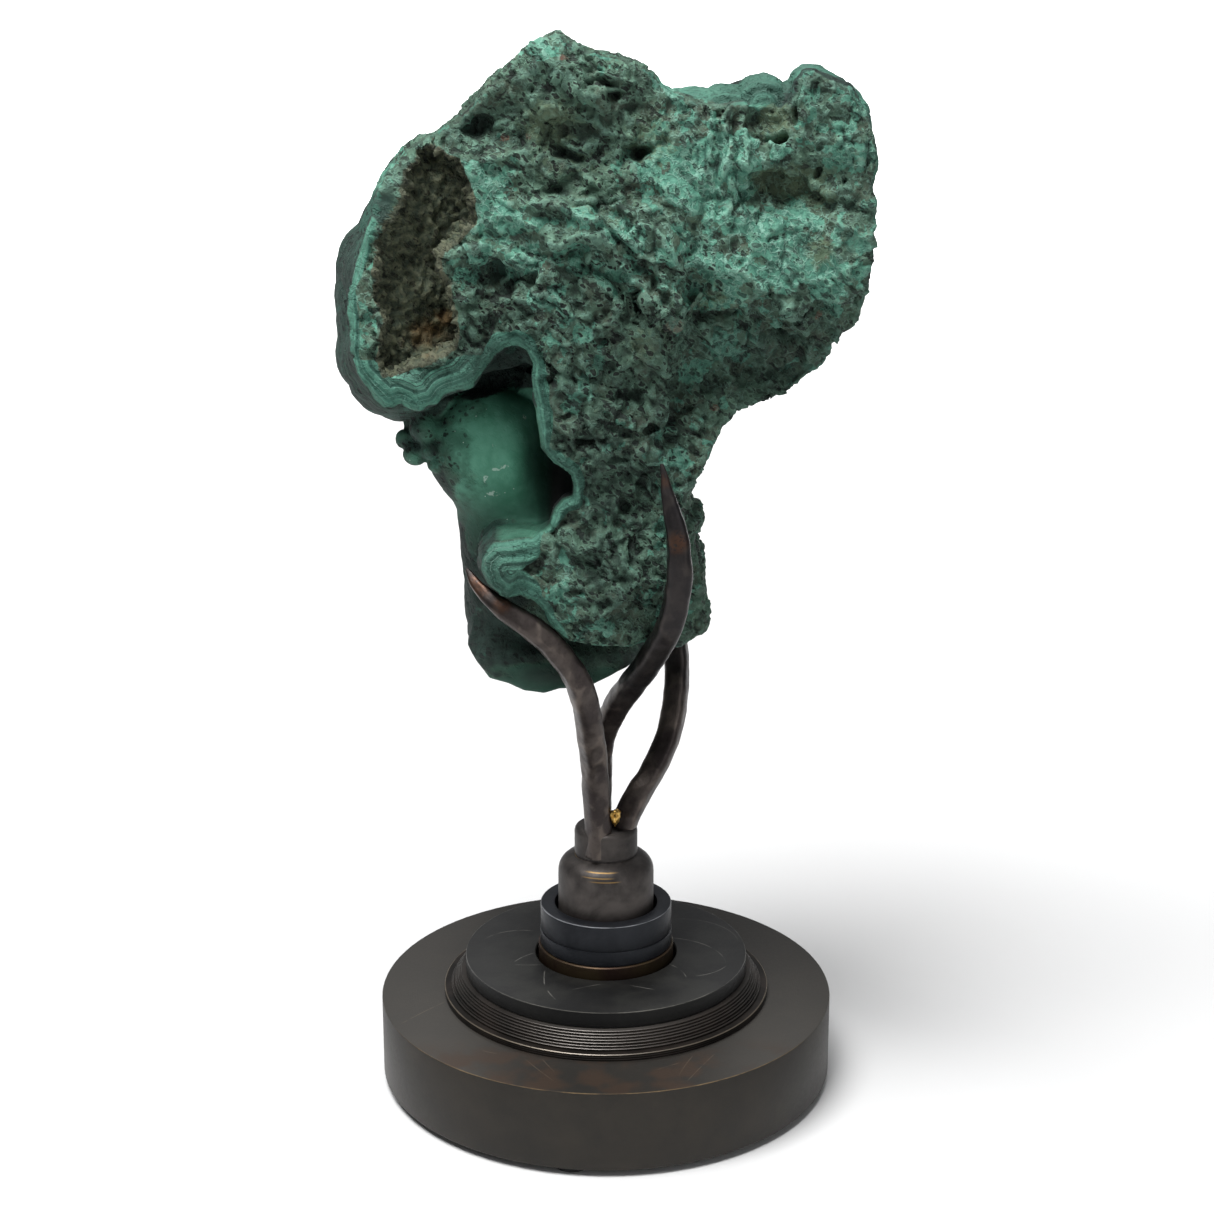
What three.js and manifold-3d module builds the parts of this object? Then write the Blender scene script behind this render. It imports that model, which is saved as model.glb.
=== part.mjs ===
// A malachite specimen held by three hammered prongs on a turned, dark-patinated bronze stand.
// Millimetres, +Z up, +X to the right and +Y to the back as seen from the front.
// The origin is the centre of the surface that the stand's feet rest on.
import * as THREE from "three";
import { mergeVertices } from "three/addons/utils/BufferGeometryUtils.js";
import Module from "manifold-3d";

const wasm = await Module();
wasm.setup();

// ---- Driving dimensions of the stand ------------------------------------------------------------
const FOOT = { radius: 5, height: 1.8, ring: 58.3, count: 4, firstAngle: -99 };
const BASE = { radius: 65, thickness: 23.4, edge: 0.5 };
const PLATE = { radius: 46.9, thickness: 6.7, flange: 2, undercut: 1.6, steps: 4, topRadius: 41.6 };
const DISC = { radius: 40.6, thickness: 4.8, bore: 20.3, edge: 0.4 };
const COLLAR = {
  radius: 19, bore: 14.7, height: 12.2, edge: 0.4, grooveDepth: 0.5, grooveAt: 4.4,
  footRadius: 19.5, footHeight: 8.1, footEdge: 0.3,
};
const POST = { barrelRadius: 13.7, bossRadius: 9, shoulderHeight: 63.4, bossFoot: 67.2, top: 75.8 };
const ROD_RADIUS = 3.5;
const ROD_SIDES = 8;
const SEAT_GAP = 0.3; // between pieces that bear on each other along a curved surface
const ROUND_SEGMENTS = 40;

const baseTop = FOOT.height + BASE.thickness;
const plateTop = baseTop + PLATE.thickness;
const discTop = plateTop + DISC.thickness;
const collarFoot = plateTop + COLLAR.footHeight;
const collarTop = collarFoot + COLLAR.height;

// ---- Driving dimensions of the stone ------------------------------------------------------------
// Its broken front face, as an outline in X and Z, runs clockwise from the peak.
const FRONT_OUTLINE = [
  [-12, 297.5], [-5, 293.5], [5, 290], [13, 285.5], [17, 282.5], [24, 284], [36, 286], [46, 288.5],
  [53, 291], [60, 288], [66.5, 278], [69.5, 266], [68.5, 258], [69.5, 248], [68.5, 232],
  [67, 224], [60.5, 218], [57.5, 210], [48, 202.5], [34, 198.5], [28, 191], [23, 178], [19, 162],
  [17, 146], [12, 138], [4, 136], [-4, 135], [-12, 139], [-19, 146], [-23, 151], [-29, 150],
  [-32, 156], [-31, 162], [-27, 166], [-19, 168], [-14.5, 173], [-9.5, 178], [-10, 183],
  [-14, 188], [-18, 196], [-19, 208], [-20.5, 217], [-26, 220.5], [-30, 217], [-34, 211],
  [-40, 206], [-50, 204.5], [-60, 207], [-65, 213], [-66, 228], [-64, 237],
  [-62, 249], [-58, 258.5], [-50, 268], [-43, 273], [-35.5, 278], [-28.5, 285.5],
  [-22.5, 290.5], [-16.5, 295.5],
];
const CAVITY_OUTLINE = [
  [-44, 269], [-37, 265], [-34, 257.5], [-34, 251], [-41, 244.5], [-41.5, 241],
  [-39, 235.5], [-37.5, 225], [-39, 220], [-46, 215.5], [-56, 213.5], [-58, 217],
  [-56.5, 225], [-58.5, 233.5], [-57.5, 244], [-53, 255], [-49, 263],
];
const FRONT_PLANE = -29; // Y of the broken face near its rim
const SLAB_BACK = -2; // Y where the mass behind the broken face starts to round off
const CAVITY_FLOOR = { y: -12, deepestX: -40, slope: 0.35 }; // it runs deeper towards the middle

// Rounded masses behind the face: [centre x, y, z], [radius x, y, z].
const MASSES = {
  crown: [[-10, 4, 261], [28, 29, 29]],
  rightBack: [[38, 2, 253], [27.5, 31, 31]],
  leftShoulder: [[-42, -3, 248], [19, 23, 23]],
  centreBack: [[-2, 16, 232], [38, 29, 34]],
  leftLobe: [[-44, -3, 232], [27.5, 26, 24]],
  leftFoot: [[-51, -4, 217], [20.5, 20, 20.5]],
  neckBack: [[5, 2, 178], [19, 22, 36]],
  spine: [[-10, 10, 164], [17, 17, 38]],
};
// Masses that stand back from the face.
const COLUMN = { top: [-32, 9, 197], topRadius: 18.5, foot: [-24.5, 7, 138], footRadius: 14 };
const PLINTH = [[-14, 3, 128], [23, 19, 12]];
const LOWER_RIGHT = { top: [17, 6, 172], topRadius: 9.5, foot: [17.5, 5, 143], footRadius: 10.5 };
const CURL = [[-23.5, -19, 159.5], [9.5, 11, 9]];
const KNOBS = [
  [[-52, -2, 191], [5.5, 6, 5]],
  [[-48, -5, 184], [4.5, 5, 4.5]],
  [[40, -16, 277], [9, 10, 9]],
  [[55, -15, 276], [9, 11, 12]],
];
const ARCH = [[-32, -22, 205], [16, 20, 12]]; // the hollow over the column's head
const CREVICE = [[-14, -11, 187], [6, 9, 18]]; // the dark gap between column and neck

// Hollows (depth above 0) and swells (below 0) of the broken face: x, z, radius x, radius z, depth.
const RELIEF = [
  [6, 238, 46, 34, -5.5], // the face swells forward in the middle
  [45, 261, 13, 6.5, 8], // wide pocket on the right
  [44, 274, 6.5, 5, 6],
  [-31, 275, 6, 5, 6],
  [-10, 269, 8, 6, 4],
  [8, 270, 6, 5, 5],
  [-26, 238, 9, 7, 4],
  [24, 236, 9, 7, 3.5],
  [2, 248, 14, 4, -2.5], // ledge across the middle
  [14, 226, 6, 14, -3], // slanting ridge
  [-2, 284, 9, 6, -2.5],
  [44, 211, 22, 11, 13], // the underside of the right end runs back
  [-33, 262, 5, 12, -3], // raised lips beside the cavity
  [-34, 229, 5, 11, -3],
  [-60, 240, 6, 16, 3],
  [-2, 196, 14, 8, -2],
  [8, 178, 7, 7, 3],
  [-1, 155, 16, 15, -3], // the lower front bulges
  [12, 140, 9, 8, 4],
];
const STONE_BOX = { low: [-80, -48, 108], high: [77, 50, 305] };
const STONE_CELL = 6.1; // edge of the cells that the stone's surface is taken from

// ---- Stone: a field that is negative inside -----------------------------------------------------
const clamp01 = (t) => Math.min(1, Math.max(0, t));

function smoothMin(a, b, k) {
  const h = clamp01(0.5 + (0.5 * (b - a)) / k);
  return b + (a - b) * h - k * h * (1 - h);
}

const smoothMax = (a, b, k) => -smoothMin(-a, -b, k);

function ellipsoid(x, y, z, [[cx, cy, cz], [rx, ry, rz]]) {
  const [dx, dy, dz] = [(x - cx) / rx, (y - cy) / ry, (z - cz) / rz];
  const k = Math.hypot(dx, dy, dz);
  return (k * (k - 1)) / Math.max(Math.hypot(dx / rx, dy / ry, dz / rz), 1e-9);
}

// Distance to a segment whose radius runs from topRadius to footRadius.
function taperedColumn(x, y, z, { top, topRadius, foot, footRadius }) {
  const p = new THREE.Vector3(x, y, z);
  const axis = new THREE.Line3(new THREE.Vector3(...top), new THREE.Vector3(...foot));
  const t = axis.closestPointToPointParameter(p, true);
  return p.distanceTo(axis.at(t, new THREE.Vector3())) - THREE.MathUtils.lerp(topRadius, footRadius, t);
}

// Signed distance in the XZ plane to a closed outline.
function outlineDistance(x, z, outline) {
  let nearest = Infinity;
  let inside = false;
  outline.forEach(([ax, az], i) => {
    const [bx, bz] = outline[(i + 1) % outline.length];
    const [ex, ez, wx, wz] = [bx - ax, bz - az, x - ax, z - az];
    const t = clamp01((wx * ex + wz * ez) / (ex * ex + ez * ez));
    nearest = Math.min(nearest, Math.hypot(wx - ex * t, wz - ez * t));
    if (az > z !== bz > z && x < ax + (ex * (z - az)) / ez) inside = !inside;
  });
  return inside ? -nearest : nearest;
}

// Slow waves that keep every surface from being a perfect curve.
function waves(x, y, z) {
  return (
    Math.sin(0.21 * x + 0.13 * z + 1.3) * Math.sin(0.17 * y - 0.19 * z + 0.4) +
    0.6 * Math.sin(0.33 * z - 0.27 * y + 2.1) * Math.sin(0.29 * x + 0.25 * y + 5)
  );
}

// Y of the broken face.
function faceY(x, z) {
  return RELIEF.reduce(
    (y, [cx, cz, rx, rz, depth]) => y + depth * Math.exp(-(((x - cx) / rx) ** 2) - ((z - cz) / rz) ** 2),
    FRONT_PLANE,
  );
}

function stoneField(x, y, z) {
  let d = smoothMax(outlineDistance(x, z, FRONT_OUTLINE), y - SLAB_BACK, 9);
  for (const mass of Object.values(MASSES)) d = smoothMin(d, ellipsoid(x, y, z, mass), 6);
  d = smoothMax(d, -ellipsoid(x, y, z, ARCH), 3);
  d = smoothMin(d, taperedColumn(x, y, z, LOWER_RIGHT), 3);
  d = smoothMin(d, smoothMin(taperedColumn(x, y, z, COLUMN), ellipsoid(x, y, z, PLINTH), 4), 2);
  d = smoothMax(d, -ellipsoid(x, y, z, CREVICE), 2);
  d = smoothMin(d, ellipsoid(x, y, z, CURL), 3);
  for (const knob of KNOBS) d = smoothMin(d, ellipsoid(x, y, z, knob), 2);
  d += 0.9 * waves(x, y, z);
  d = smoothMax(d, faceY(x, z) + 0.8 * waves(z, x, y) - y, 4);
  const floor = CAVITY_FLOOR.y - CAVITY_FLOOR.slope * Math.abs(x - CAVITY_FLOOR.deepestX);
  const mouth = outlineDistance(x, z, CAVITY_OUTLINE);
  return smoothMax(d, -smoothMax(mouth, y - floor, 4), 1);
}

// One vertex in each cell that the surface crosses, and one quad round each edge that it crosses.
function surfaceOf(field, low, high, cell) {
  const n = [0, 1, 2].map((i) => Math.ceil((high[i] - low[i]) / cell) + 1);
  const at = (i, j, k) => (i * n[1] + j) * n[2] + k;
  const place = (i, j, k) => [low[0] + i * cell, low[1] + j * cell, low[2] + k * cell];
  const values = new Float64Array(n[0] * n[1] * n[2]);
  for (let i = 0; i < n[0]; i++)
    for (let j = 0; j < n[1]; j++)
      for (let k = 0; k < n[2]; k++) values[at(i, j, k)] = field(...place(i, j, k));
  fillTouchingCorners(values, n, at);

  const positions = [];
  const vertexOf = new Map();
  function vertex(i, j, k) {
    const key = at(i, j, k);
    if (vertexOf.has(key)) return vertexOf.get(key);
    const sum = new THREE.Vector3();
    let count = 0;
    for (const [a, b] of CELL_EDGES) {
      const va = values[at(i + a[0], j + a[1], k + a[2])];
      const vb = values[at(i + b[0], j + b[1], k + b[2])];
      if (va < 0 === vb < 0) continue;
      const t = va / (va - vb);
      sum.add(new THREE.Vector3(...a).lerp(new THREE.Vector3(...b), t));
      count++;
    }
    const inCell = sum.divideScalar(count);
    const corner = new THREE.Vector3(...place(i, j, k));
    const point = pulledToSurface(field, corner.clone().addScaledVector(inCell, cell));
    point.clamp(corner.clone().addScalar(0.05 * cell), corner.clone().addScalar(0.95 * cell));
    positions.push(point.x, point.y, point.z);
    vertexOf.set(key, positions.length / 3 - 1);
    return positions.length / 3 - 1;
  }

  const indices = [];
  const corner = (v) => new THREE.Vector3().fromArray(positions, 3 * v);
  for (let i = 1; i < n[0] - 1; i++)
    for (let j = 1; j < n[1] - 1; j++)
      for (let k = 1; k < n[2] - 1; k++)
        for (let axis = 0; axis < 3; axis++) {
          const step = [0, 0, 0];
          step[axis] = 1;
          const here = values[at(i, j, k)] < 0;
          if (here === values[at(i + step[0], j + step[1], k + step[2])] < 0) continue;
          const [u, v] = [(axis + 1) % 3, (axis + 2) % 3];
          const ring = [[0, 0], [1, 0], [1, 1], [0, 1]].map(([p, q]) => {
            const c = [i, j, k];
            c[u] -= p;
            c[v] -= q;
            return vertex(...c);
          });
          if (!here) ring.reverse();
          const [a, b, c, d] = ring;
          const splitAtA = corner(a).distanceTo(corner(c)) < corner(b).distanceTo(corner(d));
          indices.push(...(splitAtA ? [a, b, c, a, c, d] : [a, b, d, b, c, d]));
        }
  return new THREE.BufferGeometry()
    .setAttribute("position", new THREE.Float32BufferAttribute(positions, 3))
    .setIndex(indices);
}

// The twelve edges of a unit cell, as pairs of corners.
const CELL_EDGES = [0, 1, 2].flatMap((axis) =>
  [[0, 0], [1, 0], [0, 1], [1, 1]].map((rest) => {
    const [a, b] = [[], []];
    for (let i = 0, r = 0; i < 3; i++) {
      a[i] = i === axis ? 0 : rest[r];
      b[i] = i === axis ? 1 : rest[r++];
    }
    return [a, b];
  }),
);

// Two solid corners that meet only across a cell face would pinch the surface: fill one of the others.
function fillTouchingCorners(values, n, at) {
  const SMALL = -0.05;
  for (let changed = true; changed; ) {
    changed = false;
    for (let i = 0; i < n[0] - 1; i++)
      for (let j = 0; j < n[1] - 1; j++)
        for (let k = 0; k < n[2] - 1; k++)
          for (const [u, v] of [[[1, 0, 0], [0, 1, 0]], [[0, 1, 0], [0, 0, 1]], [[1, 0, 0], [0, 0, 1]]]) {
            const a = at(i, j, k);
            const b = at(i + u[0], j + u[1], k + u[2]);
            const c = at(i + u[0] + v[0], j + u[1] + v[1], k + u[2] + v[2]);
            const d = at(i + v[0], j + v[1], k + v[2]);
            const solid = [a, b, c, d].map((e) => values[e] < 0);
            if (solid[0] !== solid[2] || solid[1] !== solid[3] || solid[0] === solid[1]) continue;
            const open = solid[0] ? [b, d] : [a, c];
            values[values[open[0]] < values[open[1]] ? open[0] : open[1]] = SMALL;
            changed = true;
          }
  }
}

function pulledToSurface(field, point) {
  const STEP = 0.4;
  for (let pass = 0; pass < 3; pass++) {
    const { x, y, z } = point;
    const value = field(x, y, z);
    const slope = new THREE.Vector3(
      field(x + STEP, y, z) - value,
      field(x, y + STEP, z) - value,
      field(x, y, z + STEP) - value,
    ).divideScalar(STEP);
    point.addScaledVector(slope, -value / Math.max(slope.lengthSq(), 0.25));
  }
  return point;
}

// ---- Turned parts -------------------------------------------------------------------------------
// A profile of [radius, z] points, turned about Z. It starts and ends on the axis, or closes on itself.
function turned(profile, segments = ROUND_SEGMENTS) {
  const points = profile.map(([r, z]) => new THREE.Vector2(r, z));
  return new THREE.LatheGeometry(points, segments).rotateX(Math.PI / 2);
}

function footGeometry() {
  const { radius, height } = FOOT;
  return turned([[0, 0], [radius - 0.4, 0], [radius, 0.5], [radius, height], [0, height]], 12);
}

function baseGeometry() {
  const { radius, edge } = BASE;
  return turned([
    [0, FOOT.height], [radius - edge, FOOT.height], [radius, FOOT.height + edge],
    [radius, baseTop - edge], [radius - edge, baseTop], [0, baseTop],
  ], 64);
}

// A plate with a thin flange and a flight of fine turned steps up to the disc.
function plateGeometry() {
  const { radius, flange, undercut, steps, topRadius } = PLATE;
  const profile = [
    [0, baseTop], [radius - undercut, baseTop], [radius, baseTop + flange / 2], [radius, baseTop + flange],
  ];
  const foot = radius - undercut;
  const [run, rise] = [(foot - topRadius) / steps, (plateTop - baseTop - flange) / steps];
  for (let i = 0; i < steps; i++) {
    profile.push([foot - i * run, baseTop + flange + i * rise]);
    profile.push([foot - i * run, baseTop + flange + (i + 1) * rise]);
  }
  profile.push([0, plateTop]);
  return turned(profile);
}

// A ring between two radii with a small bevel on its outer edges.
function ringGeometry(bore, radius, low, high, edge) {
  return turned([
    [bore, low], [radius - edge, low], [radius, low + edge], [radius, high - edge],
    [radius - edge, high], [bore, high], [bore, low],
  ]);
}

function collarGeometry() {
  const { bore, radius, edge, grooveDepth: groove } = COLLAR;
  const line = collarFoot + COLLAR.grooveAt;
  return turned([
    [bore, collarFoot], [radius - edge, collarFoot], [radius, collarFoot + edge],
    [radius, line - groove], [radius - groove, line], [radius, line + groove],
    [radius, collarTop - edge], [radius - edge, collarTop], [bore, collarTop], [bore, collarFoot],
  ]);
}

// Barrel, rounded shoulder and boss, all one turned piece.
function postGeometry() {
  const { barrelRadius, bossRadius, shoulderHeight, bossFoot, top } = POST;
  return turned([
    [0, plateTop], [barrelRadius - 0.6, plateTop], [barrelRadius, plateTop + 0.6],
    [barrelRadius, shoulderHeight], [barrelRadius - 0.7, shoulderHeight + 1.5],
    [barrelRadius - 2.1, shoulderHeight + 2.7], [bossRadius + 0.7, bossFoot], [bossRadius, bossFoot + 0.6],
    [bossRadius, top - 1.4], [bossRadius - 0.5, top - 0.4], [bossRadius - 1.6, top], [0, top],
  ], 32);
}

// ---- Prongs -------------------------------------------------------------------------------------
// Each is a hammered round rod, bent along its points. Its last stretch is drawn out to a flattened tip.
const PRONGS = {
  prong_left: {
    points: [
      [-2, -5.3, 70], [-2, -5.4, 76.7], [-2.9, -7.2, 89.6], [-3.4, -9.8, 98], [-4.2, -14, 108],
      [-5.4, -18.5, 117.5], [-8.2, -22.6, 128], [-14.5, -25.4, 137.8], [-20.3, -26.6, 143.4],
      [-27, -26, 148], [-34, -22.8, 153.2], [-37.3, -19.5, 157.4],
    ],
    taperFrom: 0.74,
  },
  prong_tall: {
    points: [
      [-1.7, 4.6, 70], [-1.7, 4.6, 77], [-1.7, 3, 91], [-0.9, -1.6, 103], [3.5, -9.5, 116],
      [8.6, -17.5, 126], [13.2, -26, 136], [17.2, -33.5, 147], [19.2, -36, 160],
      [18.6, -36, 171], [16.4, -34.6, 180], [14.4, -32.6, 189.5],
    ],
    taperFrom: 0.76,
  },
  prong_right: {
    points: [
      [4.7, -0.5, 70], [5, -0.5, 75.5], [9.4, 1.4, 85], [14.2, 5, 92], [18.2, 9.8, 100.5],
      [20.1, 14.2, 110.5], [20.4, 18.4, 119], [19, 21.8, 129], [17, 23.2, 140], [15.4, 23.6, 147],
    ],
    taperFrom: 0.68,
  },
};
const ROD_STEPS = 21;
const TIP_SHARE = 0.3; // the tip's radius as a share of the rod's

function rodGeometry({ points, taperFrom }, grow = 0) {
  const path = new THREE.CatmullRomCurve3(points.map((p) => new THREE.Vector3(...p)), false, "centripetal");
  const { normals, binormals } = path.computeFrenetFrames(ROD_STEPS, false);
  const positions = [];
  const indices = [];
  for (let i = 0; i <= ROD_STEPS; i++) {
    const t = i / ROD_STEPS;
    const draw = THREE.MathUtils.smoothstep(t, taperFrom, 1.06);
    const radius = ROD_RADIUS * (1 - (1 - TIP_SHARE) * draw) + grow;
    const centre = path.getPointAt(t);
    for (let s = 0; s < ROD_SIDES; s++) {
      const angle = (s / ROD_SIDES) * 2 * Math.PI;
      const dent = 1 + 0.035 * Math.sin(2 * angle + 9 * t) + 0.03 * Math.sin(23 * t + 3 * angle);
      const p = centre.clone()
        .addScaledVector(normals[i], Math.cos(angle) * radius * dent)
        .addScaledVector(binormals[i], Math.sin(angle) * radius * dent);
      positions.push(p.x, p.y, p.z);
    }
  }
  for (let i = 0; i < ROD_STEPS; i++)
    for (let s = 0; s < ROD_SIDES; s++) {
      const [a, b] = [i * ROD_SIDES + s, i * ROD_SIDES + ((s + 1) % ROD_SIDES)];
      indices.push(a, b, a + ROD_SIDES, b, b + ROD_SIDES, a + ROD_SIDES);
    }
  for (const [ring, end, turn] of [[0, 0, 1], [ROD_STEPS, 1, -1]]) {
    const hub = positions.length / 3;
    positions.push(...path.getPointAt(end).toArray());
    for (let s = 0; s < ROD_SIDES; s++) {
      const [a, b] = [ring * ROD_SIDES + s, ring * ROD_SIDES + ((s + 1) % ROD_SIDES)];
      if (turn > 0) indices.push(hub, b, a);
      else indices.push(hub, a, b);
    }
  }
  return new THREE.BufferGeometry()
    .setAttribute("position", new THREE.Float32BufferAttribute(positions, 3))
    .setIndex(indices);
}

// ---- Joining and cutting ------------------------------------------------------------------------
function solidOf(geometry) {
  const plain = geometry.clone();
  for (const name of ["normal", "uv"]) plain.deleteAttribute(name);
  const merged = mergeVertices(plain, 1e-4);
  return new wasm.Manifold(
    new wasm.Mesh({
      numProp: 3,
      vertProperties: new Float32Array(merged.attributes.position.array),
      triVerts: new Uint32Array(merged.index.array),
    }),
  );
}

function geometryOf(solid) {
  const { vertProperties, triVerts } = solid.getMesh();
  return new THREE.BufferGeometry()
    .setAttribute("position", new THREE.Float32BufferAttribute(vertProperties, 3))
    .setIndex(new THREE.BufferAttribute(triVerts, 1));
}

// ---- The part -----------------------------------------------------------------------------------
const bronze = new THREE.MeshStandardMaterial({ color: 0x2f2b26, roughness: 0.45, metalness: 0.85 });
const blackened = new THREE.MeshStandardMaterial({ color: 0x1d2024, roughness: 0.4, metalness: 0.85 });
const warmBronze = new THREE.MeshStandardMaterial({ color: 0x5a4426, roughness: 0.4, metalness: 0.9 });
const rodBronze = new THREE.MeshStandardMaterial({ color: 0x42362f, roughness: 0.4, metalness: 0.85 });
const rubber = new THREE.MeshStandardMaterial({ color: 0x141414, roughness: 0.9, metalness: 0 });
const malachite = new THREE.MeshStandardMaterial({ color: 0x2c6a55, roughness: 0.75, metalness: 0 });

const part = new THREE.Group();
function add(name, geometry, material, parent = part) {
  const mesh = new THREE.Mesh(geometry, material);
  mesh.name = name;
  parent.add(mesh);
  return mesh;
}

const seats = Object.values(PRONGS).map((prong) => solidOf(rodGeometry(prong, SEAT_GAP)));

const stand = new THREE.Group();
part.add(stand);
for (let i = 0; i < FOOT.count; i++) {
  const angle = THREE.MathUtils.degToRad(FOOT.firstAngle + (360 / FOOT.count) * i);
  const foot = add(`foot_${i + 1}`, footGeometry(), rubber, stand);
  foot.position.set(FOOT.ring * Math.cos(angle), FOOT.ring * Math.sin(angle), 0);
}
add("base_disc", baseGeometry(), bronze, stand);
add("stepped_plate", plateGeometry(), bronze, stand);
add("upper_disc", ringGeometry(DISC.bore, DISC.radius, plateTop, discTop, DISC.edge), bronze, stand);
const collarFootRing = ringGeometry(COLLAR.bore, COLLAR.footRadius, plateTop, collarFoot, COLLAR.footEdge);
add("collar_foot", collarFootRing, warmBronze, stand);
add("collar", collarGeometry(), blackened, stand);

let post = solidOf(postGeometry());
for (const seat of seats) post = post.subtract(seat);
add("post", geometryOf(post), bronze, stand);
for (const [name, prong] of Object.entries(PRONGS)) add(name, rodGeometry(prong), rodBronze, stand);

let stone = solidOf(surfaceOf(stoneField, STONE_BOX.low, STONE_BOX.high, STONE_CELL));
for (const seat of seats) stone = stone.subtract(seat);
add("malachite", geometryOf(stone), malachite);

export default part;
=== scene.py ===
# A malachite specimen on its turned and forged bronze stand, in the frame's own axes: +Z up, -Y towards
# the stone's broken face. Sizes and places are in millimetres, and MM turns them into the frame's
# metres; only the lights and the floor are placed in metres.
import math
from types import SimpleNamespace
import bpy
import numpy as np
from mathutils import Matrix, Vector


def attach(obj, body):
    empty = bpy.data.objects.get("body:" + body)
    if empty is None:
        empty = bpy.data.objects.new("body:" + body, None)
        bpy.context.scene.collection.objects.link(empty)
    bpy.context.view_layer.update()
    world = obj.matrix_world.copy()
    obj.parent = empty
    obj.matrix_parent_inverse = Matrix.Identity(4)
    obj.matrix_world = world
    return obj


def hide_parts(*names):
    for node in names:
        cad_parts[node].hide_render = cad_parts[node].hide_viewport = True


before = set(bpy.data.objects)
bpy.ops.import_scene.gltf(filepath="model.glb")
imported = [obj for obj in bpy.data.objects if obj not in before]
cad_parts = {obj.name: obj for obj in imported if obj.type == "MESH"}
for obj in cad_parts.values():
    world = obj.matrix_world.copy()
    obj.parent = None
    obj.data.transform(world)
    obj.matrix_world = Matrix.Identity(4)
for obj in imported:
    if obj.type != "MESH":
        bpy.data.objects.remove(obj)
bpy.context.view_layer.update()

MM = 0.001


# ---- Operators ----------------------------------------------------------------------------------
def select_only(piece):
    bpy.ops.object.select_all(action="DESELECT")
    piece.select_set(True)
    bpy.context.view_layer.objects.active = piece


def apply_modifier(piece, kind, **settings):
    select_only(piece)
    modifier = piece.modifiers.new(kind.title(), kind)
    for setting, value in settings.items():
        setattr(modifier, setting, value)
    bpy.ops.object.modifier_apply(modifier=modifier.name)


def edit_whole_mesh(*steps):
    """Runs mesh operators, each on all of the active piece's mesh."""
    bpy.ops.object.mode_set(mode="EDIT")
    for operator, settings in steps:
        bpy.ops.mesh.select_all(action="SELECT")
        operator(**settings)
    bpy.ops.object.mode_set(mode="OBJECT")


def put_in_place(piece):
    select_only(piece)
    bpy.ops.object.transform_apply(location=True, rotation=True, scale=True)


def finish(piece, name, node, material):
    """Names the piece, gives it its material and lets it stand for its node."""
    piece.name = name
    piece.data.materials.clear()
    piece.data.materials.append(material)
    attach(piece, "root")
    if node:
        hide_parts(node)


# ---- Noise over points, in numpy ----------------------------------------------------------------
def scatter(cell, seed):
    """A repeatable random number from 0 to 1 for each lattice cell."""
    i, j, k = cell.astype(np.uint32).T
    h = i * np.uint32(73856093) ^ j * np.uint32(19349663) ^ k * np.uint32(83492791)
    h = h ^ np.uint32(seed * 2654435761 & 0xFFFFFFFF)
    h = (h ^ (h >> 15)) * np.uint32(2246822519)
    h = (h ^ (h >> 13)) * np.uint32(3266489917)
    return ((h ^ (h >> 16)) & np.uint32(0xFFFFFF)) / 0xFFFFFF


def swell(p, size, seed):
    """Smooth noise from -1 to 1."""
    q = p / size
    cell = np.floor(q).astype(np.int64)
    f = q - cell
    f = f * f * (3 - 2 * f)
    total = np.zeros(len(p))
    for corner in np.ndindex(2, 2, 2):
        weight = np.prod(np.where(corner, f, 1 - f), axis=1)
        total += weight * scatter(cell + corner, seed)
    return 2 * total - 1


def crags(p, size, octaves, seed, sharp=0.0):
    """Noise of several sizes from about -1 to 1. sharp turns its crests into ridges."""
    total = np.zeros(len(p))
    reach = 0.0
    for octave in range(octaves):
        share = 0.5**octave
        n = swell(p, size * share, seed + octave)
        total += share * ((1 - sharp) * n + sharp * (1 - 2 * np.abs(n)))
        reach += share
    return total / reach


def warp(p, size, reach, seed):
    """The points pushed about by noise, by up to the reach."""
    return p + reach * np.stack([swell(p, size, seed + axis) for axis in range(3)], axis=1)


def grains(p, size, seed):
    """Distances to the nearest two scattered seeds, and a random number for the nearest."""
    q = p / size
    cell = np.floor(q).astype(np.int64)
    near = np.full(len(p), 9.0)
    second = np.full(len(p), 9.0)
    tag = np.zeros(len(p))
    for step in np.ndindex(3, 3, 3):
        home = cell + (np.array(step) - 1)
        seed_at = home + np.stack([scatter(home, seed + axis) for axis in range(3)], axis=1)
        distance = np.linalg.norm(seed_at - q, axis=1)
        second = np.where(distance < near, near, np.minimum(second, distance))
        tag = np.where(distance < near, scatter(home, seed + 3), tag)
        near = np.minimum(near, distance)
    return near, second, tag


def chips(p, size, seed):
    """Tilted flat facets with sharp steps between them, from about -1 to 1, and a number for each."""
    q = p / size
    cell = np.floor(q).astype(np.int64)
    near = np.full(len(p), 9.0)
    level = np.zeros(len(p))
    tag = np.zeros(len(p))
    for step in np.ndindex(3, 3, 3):
        home = cell + (np.array(step) - 1)
        away = q - home - np.stack([scatter(home, seed + axis) for axis in range(3)], axis=1)
        tilt = np.stack([scatter(home, seed + 4 + axis) for axis in range(3)], axis=1) - 0.5
        distance = (away**2).sum(axis=1)
        here = scatter(home, seed + 3) - 0.5 + 2.2 * (away * tilt).sum(axis=1)
        level = np.where(distance < near, here, level)
        tag = np.where(distance < near, scatter(home, seed + 8), tag)
        near = np.minimum(near, distance)
    return level, tag


def ramp(low, high, x):
    """0 at low and 1 at high, with soft ends."""
    t = np.clip((x - low) / (high - low), 0, 1)
    return t * t * (3 - 2 * t)


def between(x, start, full, fading, end):
    """1 from full to fading, and 0 before start and after end."""
    return ramp(start, full, x) * ramp(end, fading, x)


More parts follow.
